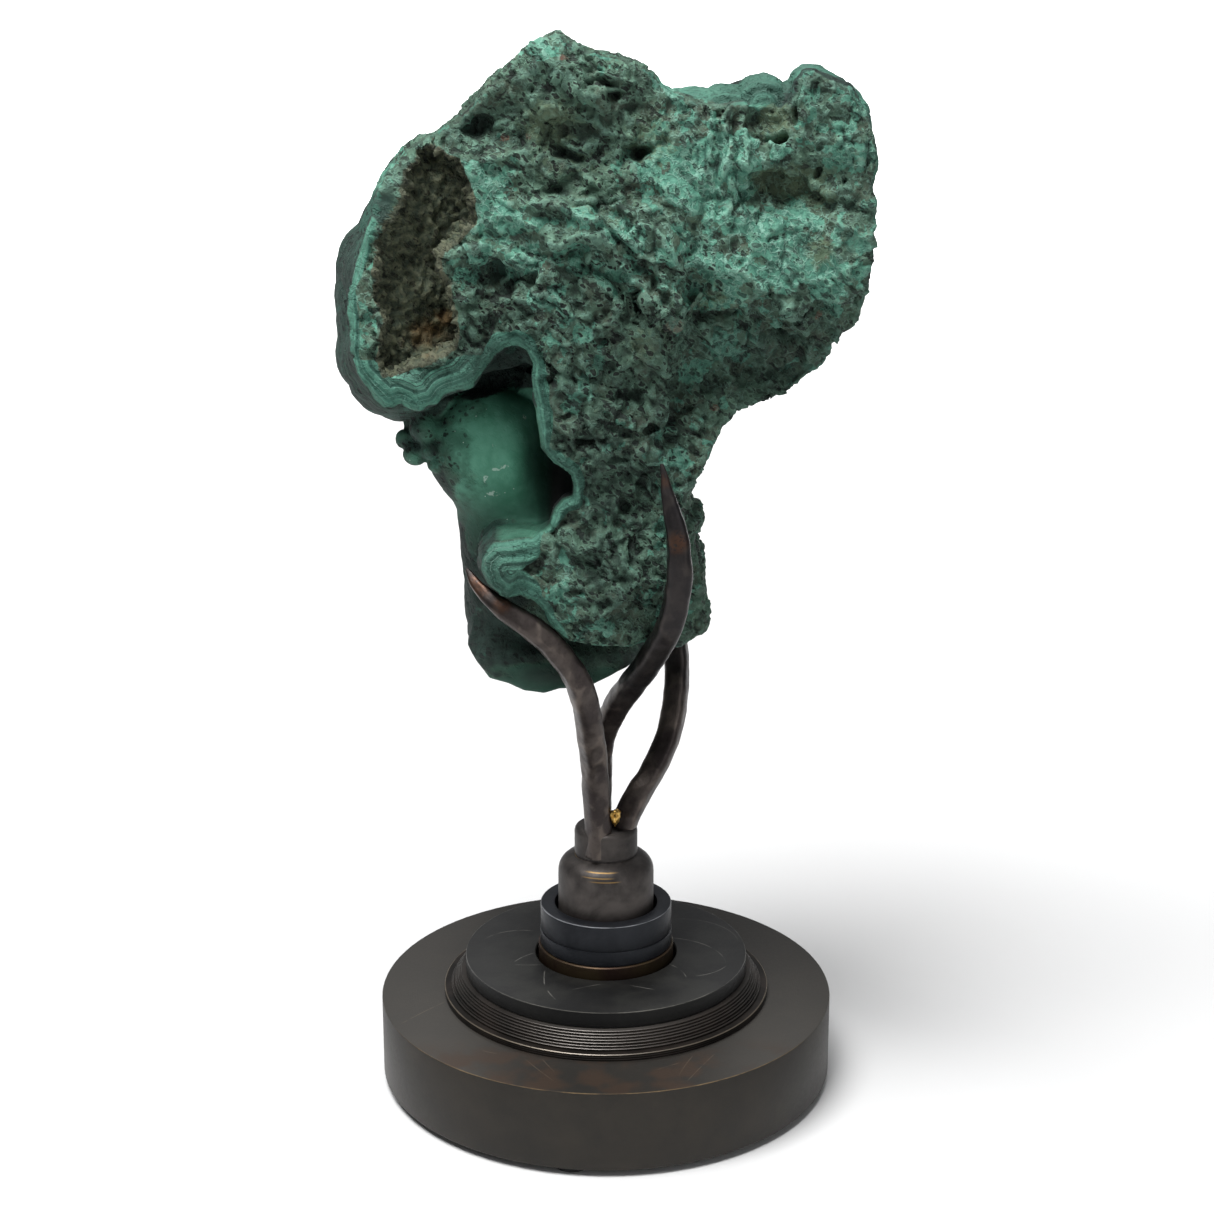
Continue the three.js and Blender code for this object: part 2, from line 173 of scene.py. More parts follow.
def bell(x, z, cx, cz, rx, rz):
    """1 at the middle of a patch, fading smoothly away."""
    return np.exp(-(((x - cx) / rx) ** 2) - ((z - cz) / rz) ** 2)


def plateau(x, z, cx, cz, rx, rz):
    """1 over the middle of a patch, falling steeply at its edge."""
    return np.exp(-((((x - cx) / rx) ** 2 + ((z - cz) / rz) ** 2) ** 2))


def smooth_min(a, b, k):
    """The smaller of two distances, blended over k millimetres: two forms joined."""
    h = np.clip(0.5 + 0.5 * (b - a) / k, 0, 1)
    return b + (a - b) * h - k * h * (1 - h)


def smooth_max(a, b, k):
    """The larger of two distances, blended over k millimetres: one form cut by another."""
    return -smooth_min(-a, -b, k)


# ---- The stone's form ---------------------------------------------------------------------------
# Outlines in X and Z. The broken face runs clockwise from the peak.
FACE_OUTLINE = [
    (-12, 297.5), (-9.4, 296.2), (-5.5, 294), (-0.7, 293), (4.7, 291.5), (9.2, 289.8), (12.7, 287),
    (14.5, 284.8), (17, 283.2), (20, 282.6), (24, 281.2), (29, 280.4), (34, 281), (39, 280.4),
    (43.5, 279.4), (46, 281.6), (47.4, 286), (49.8, 288.6), (52.3, 288.7), (56.3, 287), (61.3, 285),
    (63.9, 282), (65.5, 279), (67.2, 274.1), (68.4, 269.1), (68.7, 265.4), (67.4, 259.7), (68.6, 254.1),
    (68.5, 249.1), (67.8, 241.4), (66.6, 231.2), (65.3, 223.4), (62, 221.3), (59, 218.2), (57.6, 213),
    (55.3, 210.1), (49, 204.8), (44.4, 202.7), (39.2, 201.7), (33.3, 199.8), (29.4, 194.5), (25, 186),
    (21.5, 176), (19, 162), (17.5, 151), (15, 142), (11.7, 138.4), (5.9, 137), (-1.6, 137.3),
    (-9.6, 139), (-13.8, 143.4), (-18.8, 151.2), (-22.5, 152.8), (-26.3, 151.5), (-31, 155.1),
    (-33.6, 159.8), (-32.7, 163.9), (-29.5, 167.3), (-24.2, 167.7), (-19, 168.2), (-15, 171.6),
    (-13.7, 176.2), (-11.4, 178.8), (-8.6, 179.5), (-8.4, 181.9), (-9.1, 185.6), (-13.6, 188.3),
    (-16.9, 192.3), (-18.1, 202.7), (-19.4, 210.6), (-19.3, 215.3), (-20.8, 218.9), (-23.1, 220.2),
    (-26, 219.7), (-28.6, 217.1), (-31.2, 213.2), (-35.1, 209), (-39.9, 207.2), (-41.7, 206.4),
    (-43.6, 203.6), (-46, 203.2), (-48.3, 202), (-51, 202.4), (-53.2, 204), (-55.4, 202.8),
    (-57.6, 202.9), (-60.4, 206), (-62.5, 209.4), (-64.7, 212.3), (-66, 218), (-66, 231), (-65, 236.2),
    (-63.2, 242.6), (-61.5, 248.9), (-59.6, 252.7), (-57.7, 259), (-54.5, 264.6), (-49.5, 268.8),
    (-43, 273), (-36.4, 278.2), (-32, 282), (-29.3, 285.6), (-23.5, 290.6), (-16.4, 295.5),
]
CAVITY_OUTLINE = [
    (-43.7, 270), (-40.2, 268.6), (-36.7, 266.2), (-35.3, 262.2), (-33.8, 257.4), (-33.7, 251.1),
    (-37.1, 247.5), (-41.2, 244), (-42.3, 241), (-39.6, 235.6), (-39.4, 231.2), (-37.7, 225),
    (-38.4, 219.8), (-41.5, 217), (-45.9, 215.5), (-51.9, 213.4), (-57.1, 212.4), (-58.6, 216.4),
    (-56.9, 225), (-58.8, 233.5), (-59, 238.9), (-57.9, 244), (-53.4, 254.6), (-51.5, 259.7),
    (-49.1, 264), (-46.5, 267.6),
]
# Y of the broken face, and of the back of the slab that carries it.
FACE_PLANE, SLAB_BACK = -29.0, -2.0
# Rounded masses behind the face: centre, radii.
MASSES = [
    ((-10, 4, 261), (28, 29, 29)),
    ((38, 2, 253), (27.5, 31, 31)),
    ((-42, -3, 248), (19, 23, 23)),
    ((-2, 16, 232), (38, 29, 34)),
    ((-44, -3, 232), (27.5, 26, 24)),
    ((-55, -3, 215), (17, 18.5, 20)),
    ((5, 2, 178), (19, 22, 36)),
    ((-10, 10, 164), (17, 17, 38)),
]
COLUMN_OUTLINE = [
    (-49, 197), (-48, 190), (-46.6, 181.6), (-43.9, 178.3), (-41.6, 172.7), (-40.5, 160),
    (-39.4, 138.5), (-37.8, 131), (-32, 126), (-20, 124), (0, 127), (8, 134), (6, 150), (-2, 170),
    (-8, 185), (-11, 195), (-14, 200), (-26, 200), (-38, 198), (-44, 196),
]
FOOT_OUTLINE = [
    (-38, 133), (-35.5, 128.4), (-32.2, 123.4), (-27, 121.8), (-22.5, 119.8), (-17, 119.3),
    (-12.8, 120.7), (-4.5, 121.2), (-1.7, 122.6), (2.5, 124.8), (9.4, 128.6), (13.6, 131.2), (12, 138),
    (-10, 133), (-24, 134), (-36, 138),
]
LEG_OUTLINE = [
    (6, 188), (28, 189), (25.8, 181.8), (22.9, 173.4), (23.6, 170.4), (26.4, 169.6), (26.6, 165),
    (24.9, 160.8), (27.3, 156.6), (27.9, 145.2), (29, 138), (27.5, 133.7), (20.4, 130.6), (16, 132),
    (9, 136), (6, 150), (8, 170),
]
# Y of the middle, and half the depth, of the column, its foot and the leg at the right.
COLUMN_DEPTH, FOOT_DEPTH, LEG_DEPTH = (7, 18), (3, 18.5), (3, 12)
# Rounded forms, each a centre and radii: the curl at the foot, and the knobs beside the column.
CURL = ((-24, -20, 160), (9, 10.5, 8))
KNOBS = [
    ((-47.6, -3, 190), (5.5, 8, 6)),
    ((-54.1, -5, 189.7), (2.7, 3, 2.6)),
    ((-51.2, -8, 186.4), (3.4, 3.8, 3.2)),
    ((-48.6, -8.6, 193.2), (4.2, 4.8, 3.8)),
    ((-47.2, -10.4, 188.2), (2.7, 3.2, 2.8)),
    ((-45.9, -8, 183.6), (2.2, 2.6, 2.2)),
]
# The lumps along the right head's top.
LUMPS = [
    ((39.5, -16, 279), (8.4, 10.5, 8.9)),
    ((30, -14, 278), (8.6, 11, 6.6)),
    ((22, -12, 278), (7, 10, 5.8)),
    ((52.5, -16, 279), (8, 10, 10.5)),
    ((61, -14, 272), (7.5, 10, 12)),
]
# What hangs over the column, what is cut out round it, and the column's rounded top.
APRON = ((-31, -5, 221.5), (20, 14.5, 13.5))
ARCH = ((-30, -20, 197), (19, 19, 11.5))
CREVICE = ((-14, -11, 187), (6, 9, 18))
DOME = ((-31, -1, 186), (17.5, 14.5, 17))
# The dark slot between the rim and the column's top, climbing to the right.
SLOT, SLOT_CLIMB = ((-30, -13, 206.2), (18, 17, 3.4)), 0.24
# The lined hollow: Y of its floor, X where that is deepest, and how steeply it rises to the sides.
CAVITY_FLOOR, CAVITY_DEEPEST, CAVITY_SLOPE = -12.0, -40.0, 0.35

# Hollows (depth above 0) and swells (below 0) of the broken face: x, z, radius x, radius z, depth.
FACE_RELIEF = [
    (6, 238, 46, 34, -5.5),
    (46, 259.5, 14, 5.5, 6),
    (50, 264, 10, 2.4, 2.4),
    (40.5, 277, 6, 4, 4),
    (-26, 238, 10, 8, 1.5),
    (24, 236, 9, 7, 3),
    (2, 248, 14, 4, -1.5),
    (-15, 281, 7, 5, -2),
    (-33, 244, 3.2, 4.5, -3),
    (-35, 232, 3.2, 4, -3),
    (-22, 243, 4.5, 3.2, -2.5),
    (14, 226, 6, 14, -2),
    (33, 266, 4, 10, -2),
    (-2, 284, 9, 6, -2),
    (44, 210, 25, 12, 15),
    (-27, 160, 8, 8, -3),
    (-33, 262, 4, 9, -2),
    (-62, 240, 5, 16, 2.5),
    (-2, 196, 14, 8, -2),
    (8, 178, 7, 7, 2.5),
    (-1, 155, 16, 15, -3),
    (12, 140, 9, 8, 4),
]
# Shelves: below each line the face steps back by the depth, and comes forward again over the fall.
SHELVES = [
    ([(16, 230), (26.2, 229), (30.6, 228.6), (36.4, 229.3), (38.5, 233.4), (41.4, 234.5), (45.1, 232.3),
      (48.9, 227.1), (51.7, 230.1), (54.6, 231.5), (59.7, 232.3), (72, 234)], 4.5, 80),
    ([(31, 255), (35.2, 259.8), (38.7, 262.6), (44.4, 264.8), (49.5, 263.7), (53.1, 260.5), (58.5, 256)],
     4, 6),
    ([(-4, 251), (1.4, 243.9), (5, 239.6), (8.7, 235.2), (13.1, 230.1), (18.5, 225)], 3.6, 4),
    ([(-13.6, 254.6), (-5.8, 256.9), (1.4, 258), (9.8, 259.6)], 2, 3),
    ([(-39, 239.6), (-34.2, 241.4), (-29.8, 241), (-24.8, 239.6), (-17, 236.6)], 3, 4),
    ([(-34.5, 225.6), (-27.8, 227.1), (-22.8, 224.2), (-18.6, 219.5)], 2, 4),
    ([(-17, 213), (-10.4, 215.3), (-4.5, 213), (3.4, 210.5)], 2.6, 3),
    ([(2.3, 228.4), (8.7, 232.3), (11.6, 227.9), (14.6, 224.2), (18.8, 217)], 2.4, 4),
    ([(-20.5, 291), (-12.8, 288.6), (-7.9, 285.2), (-2.3, 280.4)], 2, 3),
    ([(-20, 276), (-12.9, 274), (-8, 277.8)], 2, 3),
    ([(-8, 197), (0, 200), (8, 197.5), (15, 201)], 2.2, 3),
    ([(-4, 184), (4, 186.5), (12, 183)], 2, 3),
    ([(-6, 166), (2, 168.5), (12, 166)], 1.8, 3),
    ([(14, 283), (22, 279), (30, 281.5), (40, 279.5)], 0.8, 4),
]
# Small deep holes: x, z, radius x, radius z, depth.
HOLES = [
    (8.6, 270, 3.4, 2.5, 8), (42.3, 272.6, 3.4, 1.4, 5), (-32.8, 275, 4, 2.1, 5),
    (-10.3, 268.8, 3.8, 1.5, 4), (-14, 259.2, 2.2, 1.3, 3), (-29, 238.5, 2.1, 2.6, 3.4),
    (-24.5, 235.5, 1.6, 2.2, 3), (-19.5, 238, 1.7, 1.6, 2.6), (8.6, 231, 1.3, 3.6, 4),
    (47, 281.5, 1, 4, 4), (52.6, 263.4, 0.9, 1.3, 3), (59.5, 262, 0.8, 1.1, 3),
    (47, 218.5, 1.6, 1.6, 4), (65, 231.5, 0.9, 1.8, 3), (-1.5, 286.5, 4, 1, 2.6),
    (3, 281.5, 2.2, 1.5, 3), (-22, 270.5, 1.3, 1.7, 2), (0.5, 214, 2.6, 1.3, 2.4),
    (-8, 212.5, 1.8, 1.1, 2.4), (7, 206, 3.4, 1.2, 2.6), (-6, 193, 2.2, 1.5, 2.4),
    (2.5, 188.5, 2, 1.5, 2.4), (12, 200, 1.3, 2, 2.4), (-2, 151, 1.5, 1.3, 2.6), (5, 176, 1.4, 1.2, 2),
    (-10, 202.5, 2.2, 0.9, 2), (-1, 221, 2, 1.3, 2.4),
]
# Ridges (height above 0) and creases (below 0) across the face: points in X and Z, width, height.
RIDGES = [
    ([(-31.4, 282.9), (-21.4, 286.6), (-15.1, 290.9)], 2.6, 1.6),
    ([(-15.4, 291.4), (-3.5, 282.6)], 2.6, 2.4),
    ([(-18.2, 256.4), (-5.3, 252.9), (3.8, 247.3), (13, 237.9), (18.7, 228.7)], 2, 4.4),
    ([(-12.9, 247.3), (-1.8, 247.3), (8.4, 236.1), (16.9, 225.9)], 1.9, 4),
    ([(-1.5, 250), (8.6, 241.8), (15.8, 231.5)], 1.4, -4.2),
    ([(-8, 243), (0, 238.5), (7, 230)], 1.3, -3.4),
    ([(3, 256), (12, 249), (19, 240)], 1.5, 2.6),
    ([(22.4, 240), (35.3, 240.7), (40.8, 232.6), (49.3, 228.7)], 2.2, 3),
    ([(35.6, 265.6), (51.3, 262.9), (56.9, 258.2)], 2.2, 3),
    ([(26.4, 278.7), (25.8, 252)], 1, 1.2),
    ([(30.9, 279.7), (30.8, 251.9)], 1, 1.5),
    ([(35.4, 277.2), (34.9, 251)], 1.1, 1.5),
    ([(28.7, 279), (28.5, 253)], 0.8, -1.2),
    ([(33.4, 278), (33.4, 262)], 1.1, -2.2),
    ([(-32.9, 265.6), (-21.5, 269.4), (-19.1, 263.2)], 2, 2),
    ([(-34.2, 264.4), (-32.4, 246.8), (-40.2, 243), (-38.6, 234.1), (-36.5, 223.8)], 1.8, 1.4),
    ([(-26.8, 253.1), (-15.4, 249.4), (-4, 250.6)], 2, 1.8),
    ([(-31, 249), (-22, 246), (-16, 241)], 1.6, -2),
    ([(-25, 231), (-16, 233), (-8, 228)], 1.8, 2),
    ([(-0.8, 223.8), (-4.1, 205.5), (-8, 194.9)], 2.6, 1.6),
    ([(11.3, 227), (13.9, 205.5), (10.9, 192.3)], 2.4, 2.6),
    ([(21.3, 246.8), (24, 231.5), (21.6, 210.8), (16.6, 194.9)], 2.2, -3),
    ([(26.1, 227.5), (36.8, 225), (48.5, 218.5)], 3, -3),
    ([(24.1, 223.8), (29.3, 216), (33.3, 206.8)], 1.5, 2.4),
    ([(35.6, 226.4), (40.8, 218.6), (42.3, 208.2)], 1.4, 2.4),
    ([(47, 229), (52.3, 221.2), (53.8, 213.4)], 1.6, 2.4),
    ([(58, 229), (62, 224), (57, 217)], 1.8, 2.4),
    ([(58, 252), (64, 250), (66, 243), (60, 237)], 1.3, 2),
    ([(40, 249), (48, 252), (55, 249)], 1.5, 1.4),
    ([(18, 262), (26, 258), (22, 250)], 1.3, -1.6),
    ([(-14, 172), (-2, 170), (10, 176)], 2.4, -1.6),
    ([(4, 150), (7, 160), (1, 167), (-7, 168)], 2, 1.8),
]


def to_line(x, z, points):
    """Distance from the nearest of a line's stretches."""
    nearest = np.full(len(x), 1e9)
    for (ax, az), (bx, bz) in zip(points, points[1:]):
        ex, ez = bx - ax, bz - az
        t = np.clip(((x - ax) * ex + (z - az) * ez) / (ex * ex + ez * ez), 0, 1)
        nearest = np.minimum(nearest, np.hypot(x - ax - ex * t, z - az - ez * t))
    return nearest


class Outline:
    """Signed distance to a closed outline in X and Z, looked up from a fine grid."""

    STEP = 0.5
    LOW = np.array((-90.0, 100.0))
    COUNT = (360, 420)

    def __init__(self, points):
        xs = self.LOW[0] + self.STEP * np.arange(self.COUNT[0])
        zs = self.LOW[1] + self.STEP * np.arange(self.COUNT[1])
        x, z = (g.ravel() for g in np.meshgrid(xs, zs, indexing="ij"))
        closed = points + points[:1]
        inside = np.zeros(len(x), bool)
        for (ax, az), (bx, bz) in zip(closed, closed[1:]):
            if az != bz:
                inside ^= ((az > z) != (bz > z)) & (x < ax + (bx - ax) * (z - az) / (bz - az))
        nearest = to_line(x, z, closed)
        self.grid = np.where(inside, -nearest, nearest).reshape(self.COUNT)

    def __call__(self, x, z):
        q = (np.stack([x, z], axis=1) - self.LOW) / self.STEP
        cell = np.clip(np.floor(q).astype(int), 0, np.array(self.COUNT) - 2)
        f = np.clip(q - cell, 0, 1)
        i, j = cell.T
        g = self.grid
        low = g[i, j] * (1 - f[:, 1]) + g[i, j + 1] * f[:, 1]
        high = g[i + 1, j] * (1 - f[:, 1]) + g[i + 1, j + 1] * f[:, 1]
        return low * (1 - f[:, 0]) + high * f[:, 0]


face_edge = Outline(FACE_OUTLINE)
cavity_edge = Outline(CAVITY_OUTLINE)
column_edge = Outline(COLUMN_OUTLINE)
foot_edge = Outline(FOOT_OUTLINE)
leg_edge = Outline(LEG_OUTLINE)


def ellipsoid(p, shape):
    """Roughly the distance from a stretched ball, below 0 inside it."""
    centre, radii = (np.array(v, float) for v in shape)
    q = (p - centre) / radii
    k = np.linalg.norm(q, axis=1)
    return k * (k - 1) / np.maximum(np.linalg.norm(q / radii, axis=1), 1e-9)


def nearest_of(p, shapes):
    """Distance from the nearest of several stretched balls."""
    return np.minimum.reduce([ellipsoid(p, shape) for shape in shapes])


def block(p, edge, depth, rounding):
    """Distance from an outline drawn out in Y, with rounded rims."""
    middle, half = depth
    return smooth_max(edge(p[:, 0], p[:, 2]), np.abs(p[:, 1] - middle) - half, rounding)


def face_plane(x, z):
    """Y of the broken face, with its hollows, swells and shelves."""
    y = np.full(len(x), FACE_PLANE)
    for *patch, depth in FACE_RELIEF:
        y += depth * bell(x, z, *patch)
    wander = swell(np.stack([x, 0 * x, z], axis=1), 5, 140)
    for line, depth, fall in SHELVES:
        xs, zs = zip(*line)
        under = np.interp(x, xs, zs) - z + wander
        ends = ramp(xs[0], xs[0] + 3, x) * ramp(xs[-1], xs[-1] - 3, x)
        y += depth * ends * ramp(0, 1.4, under) * np.exp(-np.maximum(under, 0) / fall)
    return y


def face_detail(p):
    """How far in the ridges and holes of the face reach, and how deep in a hole each point is."""
    q = warp(p, 6, 2, 130)
    q = warp(q, 2.2, 1, 133)
    x, _, z = q.T
    depth = np.zeros(len(p))
    hole = np.zeros(len(p))
    for points, width, height in RIDGES:
        depth -= height * np.exp(-np.abs(to_line(x, z, points) / width) ** 1.5)
    for *patch, deep in HOLES:
        inside = plateau(x, z, *patch)
        depth += deep * inside
        hole = np.maximum(hole, inside)
    return depth, hole


def column(p):
    """The column in the notch, with its foot."""
    shaft = block(p, column_edge, COLUMN_DEPTH, 17)
    shaft = smooth_min(shaft, ellipsoid(p, DOME), 4)
    return smooth_min(shaft, block(p, foot_edge, FOOT_DEPTH, 7), 2)


def levelled(p):
    """The points with the slot's climb taken out."""
    return p - np.stack([0 * p[:, 0], 0 * p[:, 0], SLOT_CLIMB * (p[:, 0] - SLOT[0][0])], axis=1)


def cavity_mouth(p):
    """Below 0 inside the left lobe's hollow."""
    x, y, z = p.T
    floor = CAVITY_FLOOR - CAVITY_SLOPE * np.abs(x - CAVITY_DEEPEST)
    return smooth_max(cavity_edge(x, z) + 0.5 * swell(p, 4, 31), y - floor, 4)


def upper_stone(p):
    """The head and neck without the column."""
    x, y, z = p.T
    d = np.full(len(p), 1e3)
    for mass in MASSES:
        d = smooth_min(d, ellipsoid(p, mass), 6)
    d = smooth_max(d, -ellipsoid(p, ARCH), 3)
    d = smooth_min(d, ellipsoid(p, APRON), 3)
    d = smooth_min(d, smooth_max(face_edge(x, z), y - SLAB_BACK, 9), 5)
    return smooth_min(d, block(p, leg_edge, LEG_DEPTH, 7), 2)


def stone_form(p):
    """Below 0 inside the stone."""
    x, y, z = p.T
    d = smooth_min(upper_stone(p), column(p), 1.5)
    d = smooth_max(d, -ellipsoid(p, CREVICE), 6)
    d = smooth_max(d, -ellipsoid(levelled(p), SLOT), 1.2)
    d = smooth_min(d, ellipsoid(p, CURL), 2)
    for knob in KNOBS + LUMPS:
        d = smooth_min(d, ellipsoid(p, knob), 1)
    d = smooth_max(d, face_plane(x, z) - y, 2.5)
    return smooth_max(d, -cavity_mouth(p), 0.8)


# ---- The stone's surface ------------------------------------------------------------------------
# Listed patches: x, z, radius x, radius z, strength. First how the surface is broken up, then
# its tints: bright blue-green, olive and rust.
SPONGY = [
    (0, 225, 24, 30, 1), (8, 185, 17, 32, 1), (5, 155, 16, 18, 0.7), (-30, 230, 14, 13, 1),
    (-8, 268, 26, 16, 0.8), (22, 240, 16, 14, 0.7), (-8, 284, 20, 12, 0.7), (34, 280, 8, 6, 0.5),
]
TEAL = [
    (-30, 256, 10, 15, 1), (-20, 242, 12, 6, 0.8), (-15, 294, 8, 5, 0.5), (-50, 211, 10, 4, 0.9),
    (28, 262, 17, 16, 0.9), (44, 246, 20, 13, 1), (24, 244, 9, 10, 0.8), (55, 240, 9, 14, 0.7),
    (16, 282, 4, 9, 0.6), (60, 268, 10, 14, 0.5), (30, 240, 9, 9, 1), (-12, 230, 7, 8, 0.6),
    (3, 238, 8, 4, 0.6), (-11, 160, 3, 7, 0.8), (-3, 143, 12, 6, 0.4), (12, 148, 8, 9, 0.35),
    (17, 190, 7, 14, 0.5), (28, 215, 12, 10, 0.4), (60, 212, 8, 8, 0.4), (-14, 252, 12, 3, 0.7),
    (45, 228, 9, 5, 0.5), (-31, 163, 6, 8, 0.8), (-62, 262, 8, 10, 0.8), (-63, 238, 3, 18, 0.5),
    (-6, 214, 6, 8, 0.3), (10, 257, 6, 6, 0.4), (10, 249, 15, 9, 0.6), (-4, 243, 9, 5, 0.5),
    (20, 238, 8, 7, 0.6), (57, 283, 11, 7, 0.6), (66, 268, 5, 14, 0.7), (40, 284, 8, 6, 0.4),
]
OLIVE = [
    (-14, 276, 9, 7, 0.8), (46, 261.5, 11, 4.6, 1), (54, 257.5, 5, 3.5, 0.8), (43, 277, 5, 5, 1),
    (54.3, 244, 4.5, 5, 0.8), (28, 232, 6, 6, 0.6), (9, 221, 6, 8, 0.5), (11, 272, 9, 8, 0.6),
    (22, 252, 6, 5, 0.4), (38, 262, 6, 3.4, 0.5), (-2, 205, 10, 8, 0.3), (52, 279, 5, 5, 0.3),
    (-8, 266, 22, 8, 0.4), (0, 254, 16, 5, 0.4), (-6, 214, 9, 10, 0.35), (-25, 262, 5, 8, 0.3),
    (16, 224, 6, 8, 0.4),
]
RUST = [
    (-25.4, 272.4, 1.6, 1.6, 1), (-19.4, 272.9, 1.3, 1.2, 0.8), (-10, 292, 3.4, 1.2, 0.8),
    (2, 281, 3, 2, 0.5), (55, 241, 4, 4, 0.6), (16, 227, 2.6, 1.6, 0.8), (32.9, 266.2, 1.3, 3.4, 0.7),
    (31.1, 270.6, 1.3, 1.8, 0.7), (54.7, 227, 1.6, 2, 1), (46, 209, 3, 1.6, 0.5),
    (-18.5, 150, 4, 3, 0.7), (20, 247, 2, 5, 0.5), (-53, 262, 2, 2, 0.5), (29, 201.8, 1.8, 1.4, 1),
    (13.5, 256, 3, 3, 0.4), (15, 262, 3, 1.4, 0.5), (-47, 220, 8, 5, 0.75), (-42, 224, 3.4, 3.4, 1),
    (-50, 232, 4, 5, 0.3),
]
# Where the layered rind shows on the broken edge: x, z, radius x, radius z, width of the rind.
RIND = [
    (-52, 209, 15, 9, 11.5), (-38, 211, 9, 9, 9), (-66, 222, 7, 14, 3.4), (-62, 245, 8, 14, 2.2),
    (-25, 220, 9, 7, 5), (-17, 205, 7, 16, 4.6), (-12, 183, 9, 12, 4.4), (-27, 160, 12, 11, 8),
    (-16, 148, 9, 8, 3), (-55, 264, 8, 8, 3),
]
# Rounded growths cut across, so that their layers show as rings: x, z, radius.
ROSES = [(52.5, 219.3, 6), (50.5, 211.5, 4.6), (57.5, 226.5, 3.4), (63, 246, 4)]
# Broken, spongy surface beyond the front face; the fibrous ribs; the silky green of the column; and
# what is darkened, partly as painted shade under and behind other parts, partly as darker tone.
BROKEN = [
    (-8, 290, 36, 22, 1.6), (-38, 272, 24, 16, 1.5), (24, 286, 8, 6, 0.9), (26, 175, 12, 45, 1.6),
    (36, 200, 24, 14, 1.4), (66, 240, 8, 34, 1.2), (-60, 262, 6, 7, 0.9), (0, 140, 22, 8, 1),
]
RIBBED = [(30.5, 265, 7, 12, 1)]
VELVET = [
    (-28, 191, 15, 12, 1.3), (-33, 201, 14, 8, 1.2), (-21, 172, 9.5, 17, 1.1), (-14, 121, 26, 6, 1),
    (-33, 174, 9, 17, 0.75), (-20, 127, 20, 4, 0.5),
]
PAINTED_SHADE_AND_DARK = [
    (-34, 150, 14, 26, 1), (-14, 126, 34, 12, 0.9), (-30, 216, 12, 8, 0.95), (44, 214, 27, 15, 0.85),
    (20, 150, 9, 24, 0.5), (-38, 170, 6, 9, 0.6), (-27, 160, 10, 9, 0.6), (34, 287, 17, 7, 0.95),
    (60, 289, 11, 7, 0.75), (-25, 168, 12, 9, 0.5), (-34, 277, 9, 6, 0.8), (6, 205, 18, 22, 0.45),
    (-44, 158, 5, 30, 0.7), (-12, 230, 10, 8, 0.3), (-27, 237, 8, 4, 0.6), (10, 231, 9, 4, 0.3),
    (-8, 268, 9, 4, 0.45), (0, 188, 20, 34, 0.8), (2, 156, 17, 14, 0.75), (66, 262, 8, 20, 0.4),
    (26, 206, 12, 12, 0.5), (-15, 150, 7, 9, 0.5), (-20, 171, 9, 7, 0.5), (-68, 236, 6, 26, 0.35),
]


def patches(p, places):
    """How strongly each point lies in the listed patches, from 0 to the patch's own strength."""
    total = np.zeros(len(p))
    for *patch, strength in places:
        total = np.maximum(total, strength * bell(p[:, 0], p[:, 2], *patch))
    return total


def vertices_of(piece):
    """The piece's points in millimetres."""
    p = np.empty(3 * len(piece.data.vertices), np.float32)
    piece.data.vertices.foreach_get("co", p)
    return p.reshape(-1, 3).astype(float) / MM


def move_vertices(piece, p):
    piece.data.vertices.foreach_set("co", (p * MM).astype(np.float32).ravel())
    piece.data.update()


def form_gradient(p, d, step=0.15):
    """How the stone's distance d grows along each axis, and that slope squared."""
    g = np.stack([stone_form(p + step * axis) - d for axis in np.eye(3)], axis=1) / step
    return g, np.maximum((g**2).sum(axis=1), 0.05)


def pull_to_form(piece, passes):
    """Moves the piece's points onto the stone's form, by at most 2 millimetres a pass."""
    p = vertices_of(piece)
    for _ in range(passes):
        d = stone_form(p)
        g, squared = form_gradient(p, d)
        p -= np.clip(d / squared, -2, 2)[:, None] * g
    move_vertices(piece, p)


def ragged(p, size, seed, low=0.06, high=0.36):
    """Depths from 0 to 1 of hollows with torn edges."""
    return ramp(low, high, crags(warp(p, size, size * 0.4, seed + 7), size, 4, seed))


def cracks(p, size, seed):
    """Depths from 0 to 1 of long narrow crevices: slanting down the face, upright on the right head."""
    x, y, z = p.T
    slanting = np.stack([(x - z) / 3.4, y, (x + z) / 1.4], axis=1)
    upright = np.stack([x, y, z / 3], axis=1)
    on_head = ramp(14, 24, x) * ramp(234, 246, z)
    total = 0
    for line, weight in ((slanting, 1 - on_head), (upright, on_head)):
        fold = np.abs(crags(warp(line, size, size * 0.5, seed + 7), size, 3, seed))
        total = total + weight * ramp(0.1, 0.0, fold)
    return total * ramp(-0.2, 0.25, swell(p, size * 2, seed + 20))


# Where the cleft beside the column lies in X and Z, and the roof over the column in X: where each
# starts, is full, begins to fade and ends.
CLEFT_X, CLEFT_Z, ROOF_X = (-27, -23, -8, -5), (157, 163, 202, 206), (-48, -44, -12, -8)
# The roof's height at the slot's middle, and how fast it climbs to the right.
ROOF_HEIGHT, ROOF_CLIMB = 201.5, 0.12
# The pale, cracked middle of the left lobe's rind, as a patch.
PALE_CORE = [(-57, 211, 8, 7, 1)]


